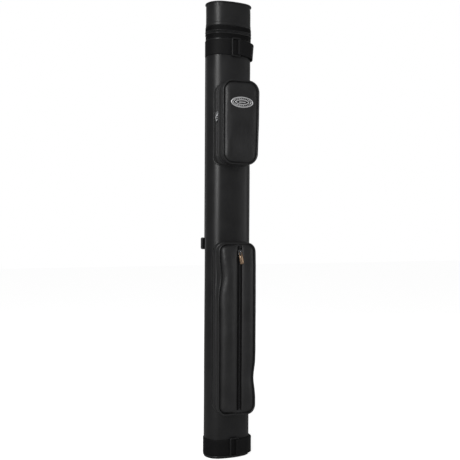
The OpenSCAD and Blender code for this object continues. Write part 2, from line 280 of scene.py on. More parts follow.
def leatherette(name, dark, light, roughness=0.4, grain=1100.0, depth=0.00009, pebble=0.0):
    """Embossed vinyl: small rounded grain cells over broad, faint unevenness. pebble is how strongly
    soft, padded vinyl is dimpled at about 3 mm."""
    material, tree, shader = node_material(name, dark, roughness)
    coords = object_coords(tree)
    cells = add_node(tree, "ShaderNodeTexVoronoi", Scale=grain, feature="SMOOTH_F1")
    tree.links.new(coords, cells.inputs["Vector"])
    fine = noise_of(tree, coords, grain * 1.7)
    height = maths(tree, "ADD", maths(tree, "MULTIPLY", cells.outputs["Distance"], 0.7),
                   maths(tree, "MULTIPLY", fine, 0.5))
    height = maths(tree, "ADD", height, maths(tree, "MULTIPLY", noise_of(tree, coords, 380.0), pebble))
    broad = noise_of(tree, coords, 22.0, 4.0)
    tone = worn(tree, ranged(tree, broad, 0.3, 0.7, 0, 0.6), 1.0)
    scuffs = maths(tree, "ADD", ranged(tree, broad, 0.3, 0.7, roughness - 0.04, roughness + 0.04),
                   ranged(tree, cells.outputs["Distance"], 0, 0.6, -0.03, 0.03))
    finished(tree, shader, two_tone(tree, tone, dark, light), height, depth, 0.7, scuffs)
    return material


def woven(name, dark, light, thread, roughness, specular):
    """Plain weave that follows a strip's own length and width, kept in its flow attribute."""
    material, tree, shader = node_material(name, dark, roughness, specular=specular)
    flow = add_node(tree, "ShaderNodeAttribute", attribute_name="flow")
    split = add_node(tree, "ShaderNodeSeparateXYZ")
    tree.links.new(flow.outputs["Vector"], split.inputs[0])
    along = maths(tree, "SINE", maths(tree, "MULTIPLY", split.outputs["X"], 2 * math.pi / thread))
    across = maths(tree, "SINE", maths(tree, "MULTIPLY", split.outputs["Y"], 2 * math.pi / thread))
    checks = maths(tree, "MULTIPLY", along, across)
    weave = ranged(tree, checks, -1, 1, 0, 1)
    fibres = noise_of(tree, object_coords(tree), 2600.0, 2.0)
    tone = worn(tree, maths(tree, "MULTIPLY", weave, fibres), 0.8)
    height = maths(tree, "ADD", maths(tree, "ABSOLUTE", checks), maths(tree, "MULTIPLY", fibres, 0.3))
    finished(tree, shader, two_tone(tree, tone, dark, light), height, 0.00013, 0.6,
             ranged(tree, fibres, 0.3, 0.7, roughness - 0.08, roughness + 0.08))
    return material


def cloth_lining(name, dark, light, roughness=0.85):
    """Fine lining fabric with a slight nap."""
    material, tree, shader = node_material(name, dark, roughness, specular=0.2)
    shader.inputs["Sheen Weight"].default_value = 0.3
    coords = object_coords(tree)
    nap = noise_of(tree, coords, 1500.0, 4.0)
    tone = maths(tree, "MULTIPLY", nap, ranged(tree, noise_of(tree, coords, 40.0), 0.3, 0.7, 0.6, 1.3))
    finished(tree, shader, two_tone(tree, tone, dark, light), nap, 0.00012, 0.6)
    return material


def foam_of(name, dark, light):
    """Closed-cell foam: pin holes in a dull skin."""
    material, tree, shader = node_material(name, dark, 0.9, specular=0.2)
    cells = add_node(tree, "ShaderNodeTexVoronoi", Scale=1300.0)
    tree.links.new(object_coords(tree), cells.inputs["Vector"])
    tone = ranged(tree, cells.outputs["Distance"], 0, 0.5, 0, 1)
    finished(tree, shader, two_tone(tree, tone, dark, light), cells.outputs["Distance"], 0.0003, 0.7)
    return material


def moulded(name, dark, light, roughness):
    """Moulded plastic with a faint texture and rubbed edges."""
    material, tree, shader = node_material(name, dark, roughness)
    coords = object_coords(tree)
    tone = worn(tree, noise_of(tree, coords, 120.0), 1.0)
    fine = noise_of(tree, coords, 2400.0)
    finished(tree, shader, two_tone(tree, tone, dark, light), fine, 0.00005, 0.5,
             ranged(tree, fine, 0.3, 0.7, roughness - 0.05, roughness + 0.07))
    return material


def metal(name, dark, light, roughness, metallic=1.0):
    """Cast or plated metal with fine scratches and dulled hollows."""
    material, tree, shader = node_material(name, light, roughness, metallic=metallic)
    coords = object_coords(tree)
    stretched = add_node(tree, "ShaderNodeMapping", Scale=(300.0, 300.0, 3000.0))
    tree.links.new(coords, stretched.inputs["Vector"])
    scratches = noise_of(tree, stretched.outputs["Vector"], 1.0, 4.0)
    tarnish = noise_of(tree, coords, 260.0)
    tone = worn(tree, ranged(tree, tarnish, 0.3, 0.65, 0.2, 1), 1.0)
    finished(tree, shader, two_tone(tree, tone, dark, light), scratches, 0.00003, 0.5,
             ranged(tree, scratches, 0.3, 0.7, roughness - 0.08, roughness + 0.12))
    return material


LEATHER = leatherette("cover_vinyl", (0.0085, 0.0085, 0.009), (0.02, 0.02, 0.021), 0.38)
SOFT_LEATHER = leatherette("pocket_vinyl", (0.0135, 0.0135, 0.014), (0.031, 0.031, 0.0322), 0.42,
                           pebble=3.5)
PIPING = leatherette("piping_vinyl", (0.009, 0.009, 0.0095), (0.03, 0.03, 0.031), 0.34, 1500.0, 0.00005)
WEBBING = woven("strap_weave", (0.003, 0.003, 0.0033), (0.014, 0.014, 0.015), 1.4, 0.6, 0.2)
ZIP_TAPE = woven("tape_weave", (0.002, 0.002, 0.0022), (0.007, 0.007, 0.0077), 0.9, 0.6, 0.14)
COIL = moulded("coil_nylon", (0.0025, 0.0025, 0.0028), (0.011, 0.011, 0.012), 0.5)
PLASTIC = moulded("fitting_plastic", (0.003, 0.003, 0.0033), (0.014, 0.014, 0.015), 0.4)
SHELL = moulded("tube_plastic", (0.010, 0.010, 0.011), (0.03, 0.03, 0.032), 0.45)
FOAM = foam_of("pad_foam", (0.02, 0.02, 0.022), (0.05, 0.05, 0.054))
TUBE_LINING = cloth_lining("tube_cloth", (0.03, 0.03, 0.034), (0.08, 0.08, 0.088))
POCKET_LINING = cloth_lining("pocket_cloth", (0.018, 0.018, 0.020), (0.05, 0.05, 0.054))
BADGE_STEEL = metal("badge_metal", (0.4, 0.4, 0.41), (0.9, 0.9, 0.91), 0.3, 0.55)
ENAMEL = moulded("badge_field", (0.004, 0.004, 0.0045), (0.012, 0.012, 0.013), 0.45)
STEEL = metal("slider_metal", (0.05, 0.05, 0.053), (0.3, 0.305, 0.31), 0.18)
# A lighter copy of the slider steel for the upper slider and its pull: painted highlight standing in for the
# key light's reflection on them.
PAINTED_HIGHLIGHT_STEEL = metal("slider_metal_painted_highlight", (0.2, 0.2, 0.205), (0.62, 0.63, 0.64), 0.24, 0.85)
DARK_METAL = metal("black_metal", (0.03, 0.03, 0.032), (0.1, 0.1, 0.105), 0.32)
BRASS = metal("brass_metal", (0.2, 0.115, 0.06), (0.75, 0.53, 0.36), 0.3)
THREAD = cloth_lining("sewing_thread", (0.012, 0.012, 0.013), (0.04, 0.04, 0.042), 0.7)


# ---------------------------------------------------------------- mesh making

def make_piece(name, points, faces, material, body, replaces=(), flow=None, sharp=50):
    """A mesh piece from points in millimetres, riding on a body, in its material's slot."""
    mesh = bpy.data.meshes.new(name)
    mesh.from_pydata((np.asarray(points, float) * MM).tolist(), [], faces)
    piece = bpy.data.objects.new(name, mesh)
    bpy.context.scene.collection.objects.link(piece)
    if flow is not None:
        mesh.attributes.new("flow", "FLOAT_VECTOR", "POINT").data.foreach_set(
            "vector", np.asarray(flow, np.float32).ravel())
    outside(mesh)
    mesh.shade_smooth()
    mesh.set_sharp_from_angle(angle=math.radians(sharp))
    mesh.materials.append(material)
    if body:
        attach(piece, body)
    if replaces:
        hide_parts(*replaces)
    return piece


def outside(mesh):
    work = bmesh.new()
    work.from_mesh(mesh)
    bmesh.ops.recalc_face_normals(work, faces=work.faces)
    work.to_mesh(mesh)
    work.free()


def skin(rings, joined):
    """Faces over rings, an array (stations, points round, 3); joined closes the last station on the
    first, otherwise both ends are capped."""
    stations, around = rings.shape[:2]
    faces = []
    for i in range(stations if joined else stations - 1):
        a, b = i * around, (i + 1) % stations * around
        for j in range(around):
            k = (j + 1) % around
            faces.append((a + j, a + k, b + k, b + j))
    if not joined:
        faces.append(tuple(range(around)))
        faces.append(tuple(range((stations - 1) * around, stations * around)))
    return faces


def lofted(name, rings, material, body, replaces=(), joined=False, flow=None, sharp=50):
    return make_piece(name, rings.reshape(-1, 3), skin(rings, joined), material, body, replaces,
                      None if flow is None else flow.reshape(-1, 3), sharp)


def many(name, shapes, material, body, replaces=(), closed=None, sharp=50):
    """One piece of many lofted solids; closed says which of them close on themselves."""
    points, faces = [], []
    for rings, joined in zip(shapes, closed or [False] * len(shapes)):
        start = len(points)
        points.extend(rings.reshape(-1, 3).tolist())
        faces.extend(tuple(start + i for i in face) for face in skin(rings, joined))
    return make_piece(name, points, faces, material, body, replaces, sharp=sharp)


def cross_frames(path, out, closed=False):
    """Unit vectors along, across and out for a path, given roughly outward directions."""
    if closed:
        along = np.roll(path, -1, 0) - np.roll(path, 1, 0)
    else:
        along = np.gradient(path, axis=0)
    along = along / np.linalg.norm(along, axis=1, keepdims=True)
    across = np.cross(out, along)
    across = across / np.linalg.norm(across, axis=1, keepdims=True)
    return along, across, np.cross(along, across)


def swept_rings(path, out, profile, closed=False):
    """Rings of a profile (across, out) carried along a path."""
    _, across, up = cross_frames(path, out, closed)
    return path[:, None] + across[:, None] * profile[None, :, :1] + up[:, None] * profile[None, :, 1:]


def circle_profile(radius, sides=10):
    turn = np.linspace(0, 2 * math.pi, sides, endpoint=False)
    return radius * np.stack([np.cos(turn), np.sin(turn)], -1)


def cord_piece(name, path, out, radius, material, body, replaces=(), closed=True, sides=10):
    rings = swept_rings(path, out, circle_profile(radius, sides), closed)
    return lofted(name, rings, material, body, replaces, joined=closed)


def squared_profile(half_across, half_out):
    """A bar's cross-section, between an oval and a rectangle."""
    profile = circle_profile(1.0, 16)
    return np.sign(profile) * np.abs(profile) ** 0.7 * [half_across, half_out]


def strip_profile(width, thickness, edge, count):
    """A flat strip's cross-section with rounded edges and slightly raised selvedges."""
    across = np.linspace(-width / 2 + edge, width / 2 - edge, count)
    raised = thickness / 2 + 0.12 * bump_at(np.abs(across), width / 2 - 1.5, 1.2)
    turn = np.radians(np.linspace(60, -60, 5))
    half = np.stack([width / 2 - edge + edge * np.cos(turn), thickness / 2 * np.sin(turn)], -1)
    top = np.stack([across, raised], -1)
    bottom = np.stack([across[::-1], -raised[::-1]], -1)
    return np.concatenate([top, half, bottom, -half])


def path_lengths(path):
    return np.concatenate([[0], np.cumsum(np.linalg.norm(np.diff(path, axis=0), axis=1))])


def resampled(path, out, spacing, closed=False):
    """Even points, directions and outward vectors along a path."""
    if closed:
        path, out = np.concatenate([path, path[:1]]), np.concatenate([out, out[:1]])
    length = path_lengths(path)
    count = max(2, int(length[-1] / spacing))
    at = (np.arange(count) + 0.5) * length[-1] / count

    def pick(values, where):
        return np.stack([np.interp(where, length, values[:, k]) for k in range(3)], -1)
    ahead = pick(path, np.minimum(at + 0.4, length[-1])) - pick(path, np.maximum(at - 0.4, 0))
    return pick(path, at), ahead / np.linalg.norm(ahead, axis=1, keepdims=True), pick(out, at)


def stitches(name, path, out, body, spacing=3.0, length=2.2, radius=0.22, closed=True):
    """A row of raised stitches, each a spindle of thread whose ends dive into the cloth."""
    middles, along, up = resampled(path, out, spacing, closed)
    stations = np.linspace(-1, 1, 5)
    sink = 0.3 * stations ** 4
    size = radius * np.sqrt(1.02 - stations ** 2 * 0.9)
    ring = circle_profile(1.0, 6)
    shapes = []
    for middle, way, lift in zip(middles, along, up):
        side = np.cross(lift, way)
        line = middle + way * stations[:, None] * length / 2 - lift * sink[:, None]
        shapes.append(line[:, None] + size[:, None, None]
                      * (side * ring[None, :, :1] + lift * ring[None, :, 1:]))
    return many(name, shapes, THREAD, body)


def round_sleeve(name, profile, material, body, replaces, s_range=None, spacing=1.5, shift=None):
    """A band round the case, or round part of it: profile holds (g, z) points of its closed cut."""
    profile = np.asarray(profile, float)
    if s_range is None:
        s = np.linspace(0, ROUND, round(ROUND / spacing), endpoint=False)
    else:
        s = np.linspace(*s_range, round((s_range[1] - s_range[0]) / spacing))
    g = np.broadcast_to(profile[:, 0], (len(s), len(profile))).copy()
    if shift is not None:
        g += shift(s[:, None], profile[None, :, 1], profile[None, :, 0])
    rings = wall(s[:, None], profile[None, :, 1], g)
    flow = np.stack(np.broadcast_arrays(s[:, None], profile[None, :, 1], g), -1)
    return lofted(name, rings, material, body, replaces, joined=s_range is None, flow=flow)


def rounded_band(z0, z1, inner, outer, swell):
    """The closed cut of a band between two heights, with soft edges and a swollen outer face."""
    z = np.linspace(z0 + 0.3, z1 - 0.3, 9)
    u = np.linspace(-1, 1, 9)
    face = np.stack([outer + swell * (1 - u ** 2), z], -1)
    middle = (inner + outer) / 2
    return np.concatenate([[[inner, z0 + 0.1], [middle, z0]], face, [[middle, z1], [inner, z1 - 0.1]],
                           [[inner, (z0 + z1) / 2]]])


# ---------------------------------------------------------------- the case's body

def cover_unevenness(s, z, g):
    """The cover's outer face isn't quite flat where the cloth is glued over the tube."""
    return np.where(g > -0.4, 0.10 * waves(s, z * 0.35, 46, 3) + 0.05 * waves(s, z, 17, 4), 0)


def body_cover():
    low, high = COVER_LOW, COVER_TOP
    outer = [(0, z) for z in np.linspace(low + 1, high - 1, 100)]
    inner = [(-0.8, z) for z in (high, (low + high) / 2, low)]
    profile = [(-0.3, low), *outer, (-0.3, high), *inner]
    round_sleeve("body_skin", profile, LEATHER, "case", ["body_cover"], spacing=1.6,
                 shift=cover_unevenness)
    z = np.linspace(low + 6, TAPE_LOW - 8, 90)
    seam = np.full_like(z, 7.0)
    flap = strip_profile(9, 0.5, 0.3, 5)
    lofted("back_seam", swept_rings(wall(seam, z, 0.22), outward(seam), flap), LEATHER, "case")
    for k, side in enumerate((-3.2, 3.2)):
        stitches(f"back_seam_stitch_{k}", wall(seam + side, z, 0.55), outward(seam + side), "case",
                 3.2, closed=False)


def piping_round(name, g, z, radius, body, node):
    s = np.linspace(0, ROUND, 200, endpoint=False)
    uneven = 0.05 * waves(s, 0, 14, 9)
    cord_piece(name, wall(s, z + uneven, g), outward(s), radius, PIPING, body, [node], sides=12)


def stitch_round(name, g, z, body, spacing=3.0, s_range=None):
    s = np.linspace(*(s_range or (0, ROUND)), 240)
    stitches(name, wall(s, z, g), outward(s), body, spacing, closed=False)


def rim_binding():
    """The soft edge round the tube's mouth."""
    low, high = node_box("rim_binding")
    inner = -3.4
    z = [low[2] - 0.6, low[2], high[2] - 0.2, high[2] + 0.15, high[2], low[2] + 0.2, low[2] - 0.6]
    g = [-0.9, -0.35, -0.3, (inner - 0.3) / 2, inner + 0.1, inner, -2.9]
    round_sleeve("mouth_binding", list(zip(g, z)), PIPING, "case", ["rim_binding"])


def zip_band(name, z0, z1, outer, swell, body, node, seed):
    """A zip's tape: a soft band of woven cloth that swells a little between its stitched edges."""
    def sag(s, z, g):
        return np.where(g > 0.5, 0.12 * waves(s, z, 21, seed), 0)
    round_sleeve(name, rounded_band(z0, z1, 0.1, outer, swell), ZIP_TAPE, body, [node],
                 (ZIP_FROM + 0.3, ZIP_TO - 0.3), shift=sag)


def coil_shapes(path, along, out, side, width, depth, pitch):
    """The rounded head of each turn of a zip's coil; side points from the zip's line to the tape."""
    shapes = []
    stations = np.array([-1, -0.75, 0, 0.75, 1])
    size = np.array([0.45, 0.85, 1, 0.85, 0.45])
    turn = np.radians(np.arange(22.5, 360, 45))
    for middle, way, lift, aside in zip(path, along, out, side):
        line = middle + aside * stations[:, None] * width / 2
        ring = (way * np.cos(turn)[:, None] * pitch * 0.36 + lift * np.sin(turn)[:, None] * depth / 2)
        shapes.append(line[:, None] + size[:, None, None] * ring)
    return shapes


PITCH = 1.5                      # from one coil turn to the next


def round_coil(name, z, side, body, node, phase):
    """One side's coil turns round the lid's zip."""
    s = np.arange(ZIP_FROM + 1.5 + phase * PITCH, ZIP_TO - 1.5, PITCH)
    up = facing((0, 0, side), len(s))
    out = outward(s)
    along = np.cross(up, out) * side
    many(name, coil_shapes(wall(s, z, 0.65), along, out, up, 2.0, 1.0, PITCH), COIL, body, [node],
         sharp=60)


def lid_lip(name, z0, z1, g, body):
    """The inner edge of the zip's tape, which closes the gap under the lid behind the coil."""
    profile = [(g - 0.3, z0), (g, z0), (g, (z0 + z1) / 2), (g, z1), (g - 0.3, z1)]
    round_sleeve(name, profile, ZIP_TAPE, body, [], (ZIP_FROM + 0.3, ZIP_TO - 0.3))


def lid_zip():
    tape_and_shade_low = TAPE_LOW - 3.0        # the tape's cloth reaches its node; the 3 mm of dark tape below it, over the cover, is painted shade above the webbing
    lid_lip("body_zip_lip", ZIP_Z - 2.4, ZIP_Z + 0.5, -0.05, "case")
    lid_lip("lid_zip_lip", ZIP_Z - 0.5, LID_EDGE + 1.0, -0.45, "lid")
    zip_band("body_tape", tape_and_shade_low, ZIP_Z - 2.2, 0.6, 0.1, "case", "body_zip_tape", 11)
    zip_band("lid_tape", LID_EDGE, TAPE_TOP, 0.85, 0.3, "lid", "lid_zip_tape", 12)
    round_coil("body_coil", ZIP_Z - 1.1, -1, "case", "body_zip_coil", 0)
    round_coil("lid_coil", ZIP_Z + 1.1, 1, "lid", "lid_zip_coil", 0.5)
    s = np.linspace(ZIP_FROM + 1, ZIP_TO - 1, 170)
    for name, z, body in (("lid_tape_edge", LID_EDGE + 0.4, "lid"), ("body_tape_edge", ZIP_Z - 2.5, "case")):
        cord_piece(name, wall(s, z, 1.0), outward(s), 0.55, PIPING, body, closed=False)
    zip_span = (ZIP_FROM + 2, ZIP_TO - 2)
    stitch_round("body_tape_stitch", 0.62, tape_and_shade_low + 1.4, "case", s_range=zip_span)
    stitch_round("lid_tape_stitch", 0.95, TAPE_TOP - 1.5, "lid", s_range=zip_span)


def hinge_skin():
    """The cover runs on over the zip's ends as one flexible hinge."""
    z0, z1 = TAPE_LOW, TAPE_TOP
    z = np.concatenate([np.linspace(z0, ZIP_Z - 3, 6), np.linspace(ZIP_Z - 2.4, ZIP_Z + 2.4, 13),
                        np.linspace(ZIP_Z + 3, z1, 6)])
    crease = 0.35 * bump_at(z, ZIP_Z, 0.8)
    outer = np.stack([np.where((z == z0) | (z == z1), 0.5, 0.95) - crease, z], -1)
    inner = np.stack([0.15 + 0 * z, z], -1)[::-1]
    s_range = (ZIP_TO, ROUND + ZIP_FROM)
    hinge = round_sleeve("hinge_flap", np.concatenate([outer, inner]), SOFT_LEATHER, None,
                         ["body_hinge_leaf", "lid_hinge_leaf"], s_range)
    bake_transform(hinge)
    stitch_round("hinge_stitch_low", 1.0, z0 + 1.4, "case", s_range=s_range)
    stitch_round("hinge_stitch_high", 1.0, z1 - 1.5, "lid", s_range=s_range)


def lid():
    """The lid's cover, puckered under its top piping, with a stitched hem above the zip."""
    hem_low, hem_high = TAPE_TOP + 0.2, TAPE_TOP + 5.5
    heights = np.concatenate([np.linspace(LID_EDGE, hem_low, 5), np.linspace(hem_low + 0.3, hem_high, 6),
                              np.linspace(hem_high + 0.4, LID_TOP - 2.2, 30)])
    hem = np.where((heights > hem_low) & (heights <= hem_high), 0.32, 0.0)
    outer = np.stack([hem, heights], -1)
    corner = [(-0.2, LID_TOP - 1.0), (-0.8, LID_TOP - 0.3), (-2.0, LID_TOP)]
    top = [(g, LID_TOP + 0.45 * (1 - ((g + 24) / 22) ** 2)) for g in (-5, -9, -14, -19, -24)]
    inside = [(-24, LID_TOP - 1.2), (-1.2, LID_TOP - 1.2), (-0.8, LID_TOP - 2), (-0.8, LID_EDGE)]
    profile = np.concatenate([inside, outer, corner, top])
    s = np.linspace(0, ROUND, 420, endpoint=False)[None]
    g, z = profile[:, :1], profile[:, 1:]
    outer_face = (g > -0.3) & (z > hem_high)
    pucker = (0.5 + 0.5 * waves(s, 0, 5.5, 21, 4)) * bump_at(z, LID_TOP - 5, 3.5) * 0.55
    uneven = 0.10 * waves(s, z, 30, 22) + 0.05 * waves(s, z, 12, 23)
    rings = wall(s, z, g + np.where(outer_face, uneven - pucker, 0))
    lofted("lid_skin", rings, LEATHER, "lid", ["lid_cover"])
    piping_round("lid_welt", 0.2, CASE_TOP - 1.55, 1.5, "lid", "lid_piping")
    stitch_round("lid_hem_stitch", 0.42, hem_high - 2.0, "lid")


def base():
    piping_round("base_welt", 0.2, COVER_LOW + 1.6, 1.45, "case", "base_piping")


def foam_pad(name, node, body):
    """An oval pad of foam with rounded edges and a slightly crowned face."""
    low, high = node_box(node)
    edge = high[0] - HALF_W
    mid, half = (low[2] + high[2]) / 2, (high[2] - low[2]) / 2
    turn = np.radians(np.linspace(-90, 90, 9))
    profile = [(-24, low[2] + 0.3), (-12, low[2] + 0.1)]
    profile += [(edge - 1.5 + 1.5 * math.cos(t), mid + half * math.sin(t)) for t in turn]
    profile += [(-12, high[2] - 0.1), (-24, high[2] - 0.3)]
    s = np.linspace(0, ROUND, 120, endpoint=False)[None]
    profile = np.array(profile)
    pad = lofted(name, wall(s, profile[:, 1:], profile[:, :1]), FOAM, body, [node])


# ---------------------------------------------------------------- pockets

def on_wall(points, g):
    """Outline points pressed back on to the case's curved front, with outward directions."""
    s = front_s(points[:, 0])
    return wall(s, points[:, 1], g), outward(s)


def standing(points, y):
    """Outline points (x, z) at depth y."""
    return spots(points[..., 0], y, points[..., 1])


def upper_lean(points):
    """The upper pocket's door thins and narrows towards its bottom."""
    x, _, low, high, _ = UPPER
    reach = np.clip((UP_SEAM - points[..., 1]) / (UP_SEAM - UP_FRONT), 0, 1.2)
    drop = np.clip((low + 0.75 * (high - low) - points[..., 2]) / (0.75 * (high - low)), 0, 1) ** 1.3
    moved = points.copy()
    moved[..., 1] += 3.4 * drop * reach
    moved[..., 0] -= (points[..., 0] - x) * 0.045 * drop * reach
    return moved


SEAM_DEEP, SEAM_SHALLOW = 5.4, 2.4   # how far a panel's seams lie behind its front, left and right
SEAM_ROOM = 2.3                  # flat cloth between a panel's seam and the roll of its edge
ROLL = 10.0                      # how far a panel's edge takes to roll up to its front
LOW_PINCH_Z = LOWER[3] - 61      # where the left edge is pressed in
LOW_DENT_Z = LOWER[2] + 62       # where the right edge is pressed in
SAG_FROM = -24                   # depth behind which the lower pocket keeps its shape


def lower_sag(points):
    """The lower pocket's soft front has been pressed in on the left near its top and on the right
    near its bottom, and its bottom hangs."""
    _, half, low, high, _ = LOWER
    z = points[..., 2]
    reach = np.clip((SAG_FROM - points[..., 1]) / (SAG_FROM - LOW_FRONT), 0, 1.2)
    left = np.clip(-points[..., 0] / half, 0, 1) ** 2
    right = np.clip(points[..., 0] / half, 0, 1) ** 2
    hang = 2.6 + 1.6 * np.clip(points[..., 0] / half + 0.4, 0, 1)
    moved = points.copy()
    moved[..., 0] += reach * left * (4.6 * bump_at(z, LOW_PINCH_Z, 21)
                                     - 1.0 * bump_at(z, LOW_PINCH_Z - 50, 26))
    moved[..., 0] -= reach * right * (3.0 * bump_at(z, LOW_DENT_Z, 22) + 1.0 * bump_at(z, high, 30))
    moved[..., 1] += reach * (2.6 * right * bump_at(z, LOW_DENT_Z, 24)
                              + 1.5 * left * bump_at(z, LOW_PINCH_Z, 24))
    moved[..., 2] -= reach * hang * bump_at(z, low, 18)
    return moved


def squarer(points, ways, tight):
    """An outline's points with its two lower corners pushed out to a smaller radius."""
    corner = np.where(ways[:, 1] < 0, (2 * ways[:, 0] * ways[:, 1]) ** 2, 0)
    return points + ways * (tight * corner)[:, None]


def bellows(part, folds):
    """How far a side wall stands out at a part of its depth, given folds as (from, to, height)."""
    lift = 0 * part
    for start, end, height in folds:
        across = np.clip(2 * np.clip((part - start) / (end - start), 0, 1) ** 1.4 - 1, -1, 1)
        lift = lift + height * np.sqrt(1 - across ** 2)
    return lift


def gusset(name, pocket, y_back, y_front, bend, body, node, folds, wrinkle, seed, tight=0.0):
    """A pocket's side wall: a strip round its outline from y_back, or from the case where that is
    None, to y_front, with folds along it and wrinkles across it. tight squares the corners at the
    back."""
    points, ways = outline(pocket)
    depths = np.linspace(0, 1, 41)
    rear = squarer(points, ways, tight)
    back = on_wall(rear, 0.1)[0][:, 1] if y_back is None else np.full(len(points), y_back)
    y = back[:, None] + (y_front - back[:, None]) * depths
    run = path_lengths(standing(points, 0))[:, None]
    u = np.sin(math.pi * depths)
    puff = bellows(depths, folds) + wrinkle * u * (waves(run * 0.15, y, 8, seed)
                                                   + 0.5 * waves(run, y, 26, seed + 1))
    base = rear[:, None] * (1 - depths)[:, None] + points[:, None] * depths[:, None]
    outer = standing(base + ways[:, None] * puff[..., None], y)
    inner = standing(base + ways[:, None] * (puff[..., None] - 1.3), y)
    rings = bend(np.concatenate([outer, inner[:, ::-1]], 1))
    lofted(name, rings, SOFT_LEATHER, body, [node], joined=True, sharp=75)


def settle(piece, pinned, pressure, cap):
    """Inflates a piece with cloth simulation, its pinned points held, no point moving past cap."""
    mesh = piece.data
    start = mesh_points(mesh)
    group = piece.vertex_groups.new(name="pinned")
    group.add([int(i) for i in np.flatnonzero(pinned)], 1.0, "REPLACE")
    cloth = piece.modifiers.new("cloth", "CLOTH")
    cloth.settings.use_pressure = True
    cloth.settings.uniform_pressure_force = pressure
    cloth.settings.effector_weights.gravity = 0
    cloth.settings.vertex_group_mass = "pinned"
    cloth.settings.tension_stiffness = 8
    cloth.settings.compression_stiffness = 8
    cloth.settings.bending_stiffness = 0.3
    cloth.collision_settings.use_collision = False
    scene = bpy.context.scene
    for step in range(1, 21):
        scene.frame_set(step)
    shaped = piece.evaluated_get(bpy.context.evaluated_depsgraph_get())
    after = mesh_points(shaped.data)
    piece.modifiers.clear()
    piece.vertex_groups.clear()
    scene.frame_set(1)
    move = after - start
    length = np.linalg.norm(move, axis=1, keepdims=True)
    limit = cap * MM
    move = np.where(length > 0, move / np.maximum(length, 1e-9) * limit * np.tanh(length / limit), 0)
    set_points(mesh, start + move)


def smoothed(piece):
    """One level of subdivision, applied."""
    modifier = piece.modifiers.new("smooth", "SUBSURF")
    modifier.levels = modifier.render_levels = 1
    mesh = bpy.data.meshes.new_from_object(piece.evaluated_get(bpy.context.evaluated_depsgraph_get()))
    piece.modifiers.clear()
    piece.data = mesh
    mesh.shade_smooth()
    mesh.set_sharp_from_angle(angle=math.radians(60))


def edge_roll(distance, start, radius):
    """Rises from 0 to 1 as a quarter circle, from start to start + radius off an edge."""
    return np.sqrt(1 - (1 - np.clip((distance - start) / radius, 0, 1)) ** 2)


def pad_rings(pocket, left, right, front, crown, zip_side=0):
    """A panel as rows up its height: each ring runs across its crowned front and back along its
    rear. left and right cut the pocket's outline. Its edges roll back to a seam that lies deeper on
    the pocket's left than on its right, and shallow along a zip on the panel's left (-1) or right (1)."""
    x, half, low, high, r = pocket
    step = 2.4
    corner = np.sin(np.radians(np.linspace(0, 90, 9))) * r
    z = np.concatenate([low + r - corner[::-1], np.arange(low + r + step, high - r - step / 2, step),
                        high - r + corner])
    inset = np.maximum(0, np.maximum(low + r - z, z - high + r))
    reach = half - r + np.sqrt(np.maximum(r * r - inset * inset, 0.3))
    x0 = np.maximum(x - reach, left)
    x1 = np.minimum(x + reach, right)
    count = max(14, round((min(x + half, right) - max(x - half, left)) / step))
    u = (1 - np.cos(np.linspace(0, math.pi, count))) / 2
    across = x0[:, None] + (x1 - x0)[:, None] * u
    end = np.minimum(z - low, high - z)[:, None]
    rolls = edge_roll(end, SEAM_ROOM, ROLL)
    depth = SEAM_DEEP + (SEAM_SHALLOW - SEAM_DEEP) * np.clip((across - x + half) / (2 * half), 0, 1)
    for side, distance in ((-1, across - x0[:, None]), (1, x1[:, None] - across)):
        if side == zip_side:
            depth = depth - (depth - 1.6) * bump_at(distance, 0, 9)
            rolls = rolls * edge_roll(distance, -0.3, 4.5)
        else:
            rolls = rolls * edge_roll(distance, SEAM_ROOM, ROLL)
    swell = crown * (1 - (2 * u - 1) ** 2) * (1 - np.exp(-end / 12))
    base = front + depth * (1 - rolls)
    flat = np.stack(np.broadcast_arrays(across, z[:, None]), -1)
    face = standing(flat, base - swell)
    rear = standing(flat, base + 1.1)
    return np.concatenate([face, rear[:, ::-1]], 1)


def mesh_points(mesh):
    """A mesh's points as an array, in metres."""
    return np.array([v.co for v in mesh.vertices], float)


def set_points(mesh, points):
    mesh.vertices.foreach_set("co", points.astype(np.float32).ravel())
    mesh.update()


def padded_panel(name, rings, bend, body, node, pressure, cap, seed):
    """A padded front panel: inflated, subdivided, then made a little uneven."""
    rows, around = rings.shape[:2]
    panel = lofted(name, rings, SOFT_LEATHER, None)
    column = np.arange(rows * around) % (around // 2)
    row = np.arange(rows * around) // around
    edge = np.minimum(column, around // 2 - 1 - column) < 2
    settle(panel, edge | (np.minimum(row, rows - 1 - row) < 2), pressure, cap)
    smoothed(panel)
    points = mesh_points(panel.data) / MM
    low, high = points.min(0), points.max(0)
    rim = np.minimum.reduce([points[:, 0] - low[0], high[0] - points[:, 0],
                             points[:, 2] - low[2], high[2] - points[:, 2]])
    inner = np.clip((rim - 3) / 8, 0, 1)
    points[:, 1] += inner * (0.4 * waves(points[:, 0], points[:, 2] * 0.6, 34, seed)
                             + 0.12 * waves(points[:, 0], points[:, 2], 13, seed + 1))
    set_points(panel.data, bend(points) * MM)
    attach(panel, body)
    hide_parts(node)
    return panel


def on_panel(panel, x, z):
    """Points x, z laid on a panel's front as it has settled."""
    tree = BVHTree.FromPolygons([v.co for v in panel.data.vertices],
                                [tuple(p.vertices) for p in panel.data.polygons])
    hits = [tree.ray_cast((a * MM, -1.0, b * MM), (0, 1, 0))[0] for a, b in zip(x, z)]
    return np.array([tuple(hit) for hit in hits if hit is not None]) / MM


def front_piping(name, pocket, y, bend, body, node, seed):
    """The piping round a pocket's front."""
    points, ways = outline(pocket, 0.3, 2.0)
    run = path_lengths(standing(points, 0))
    path = bend(standing(points + ways * (0.12 * waves(run, 0, 23, seed))[:, None],
                         y + 0.15 * waves(run, 0, 31, seed + 1)))
    cord_piece(name, path, standing(ways, 0.0), 1.6, PIPING, body, [node], sides=12)


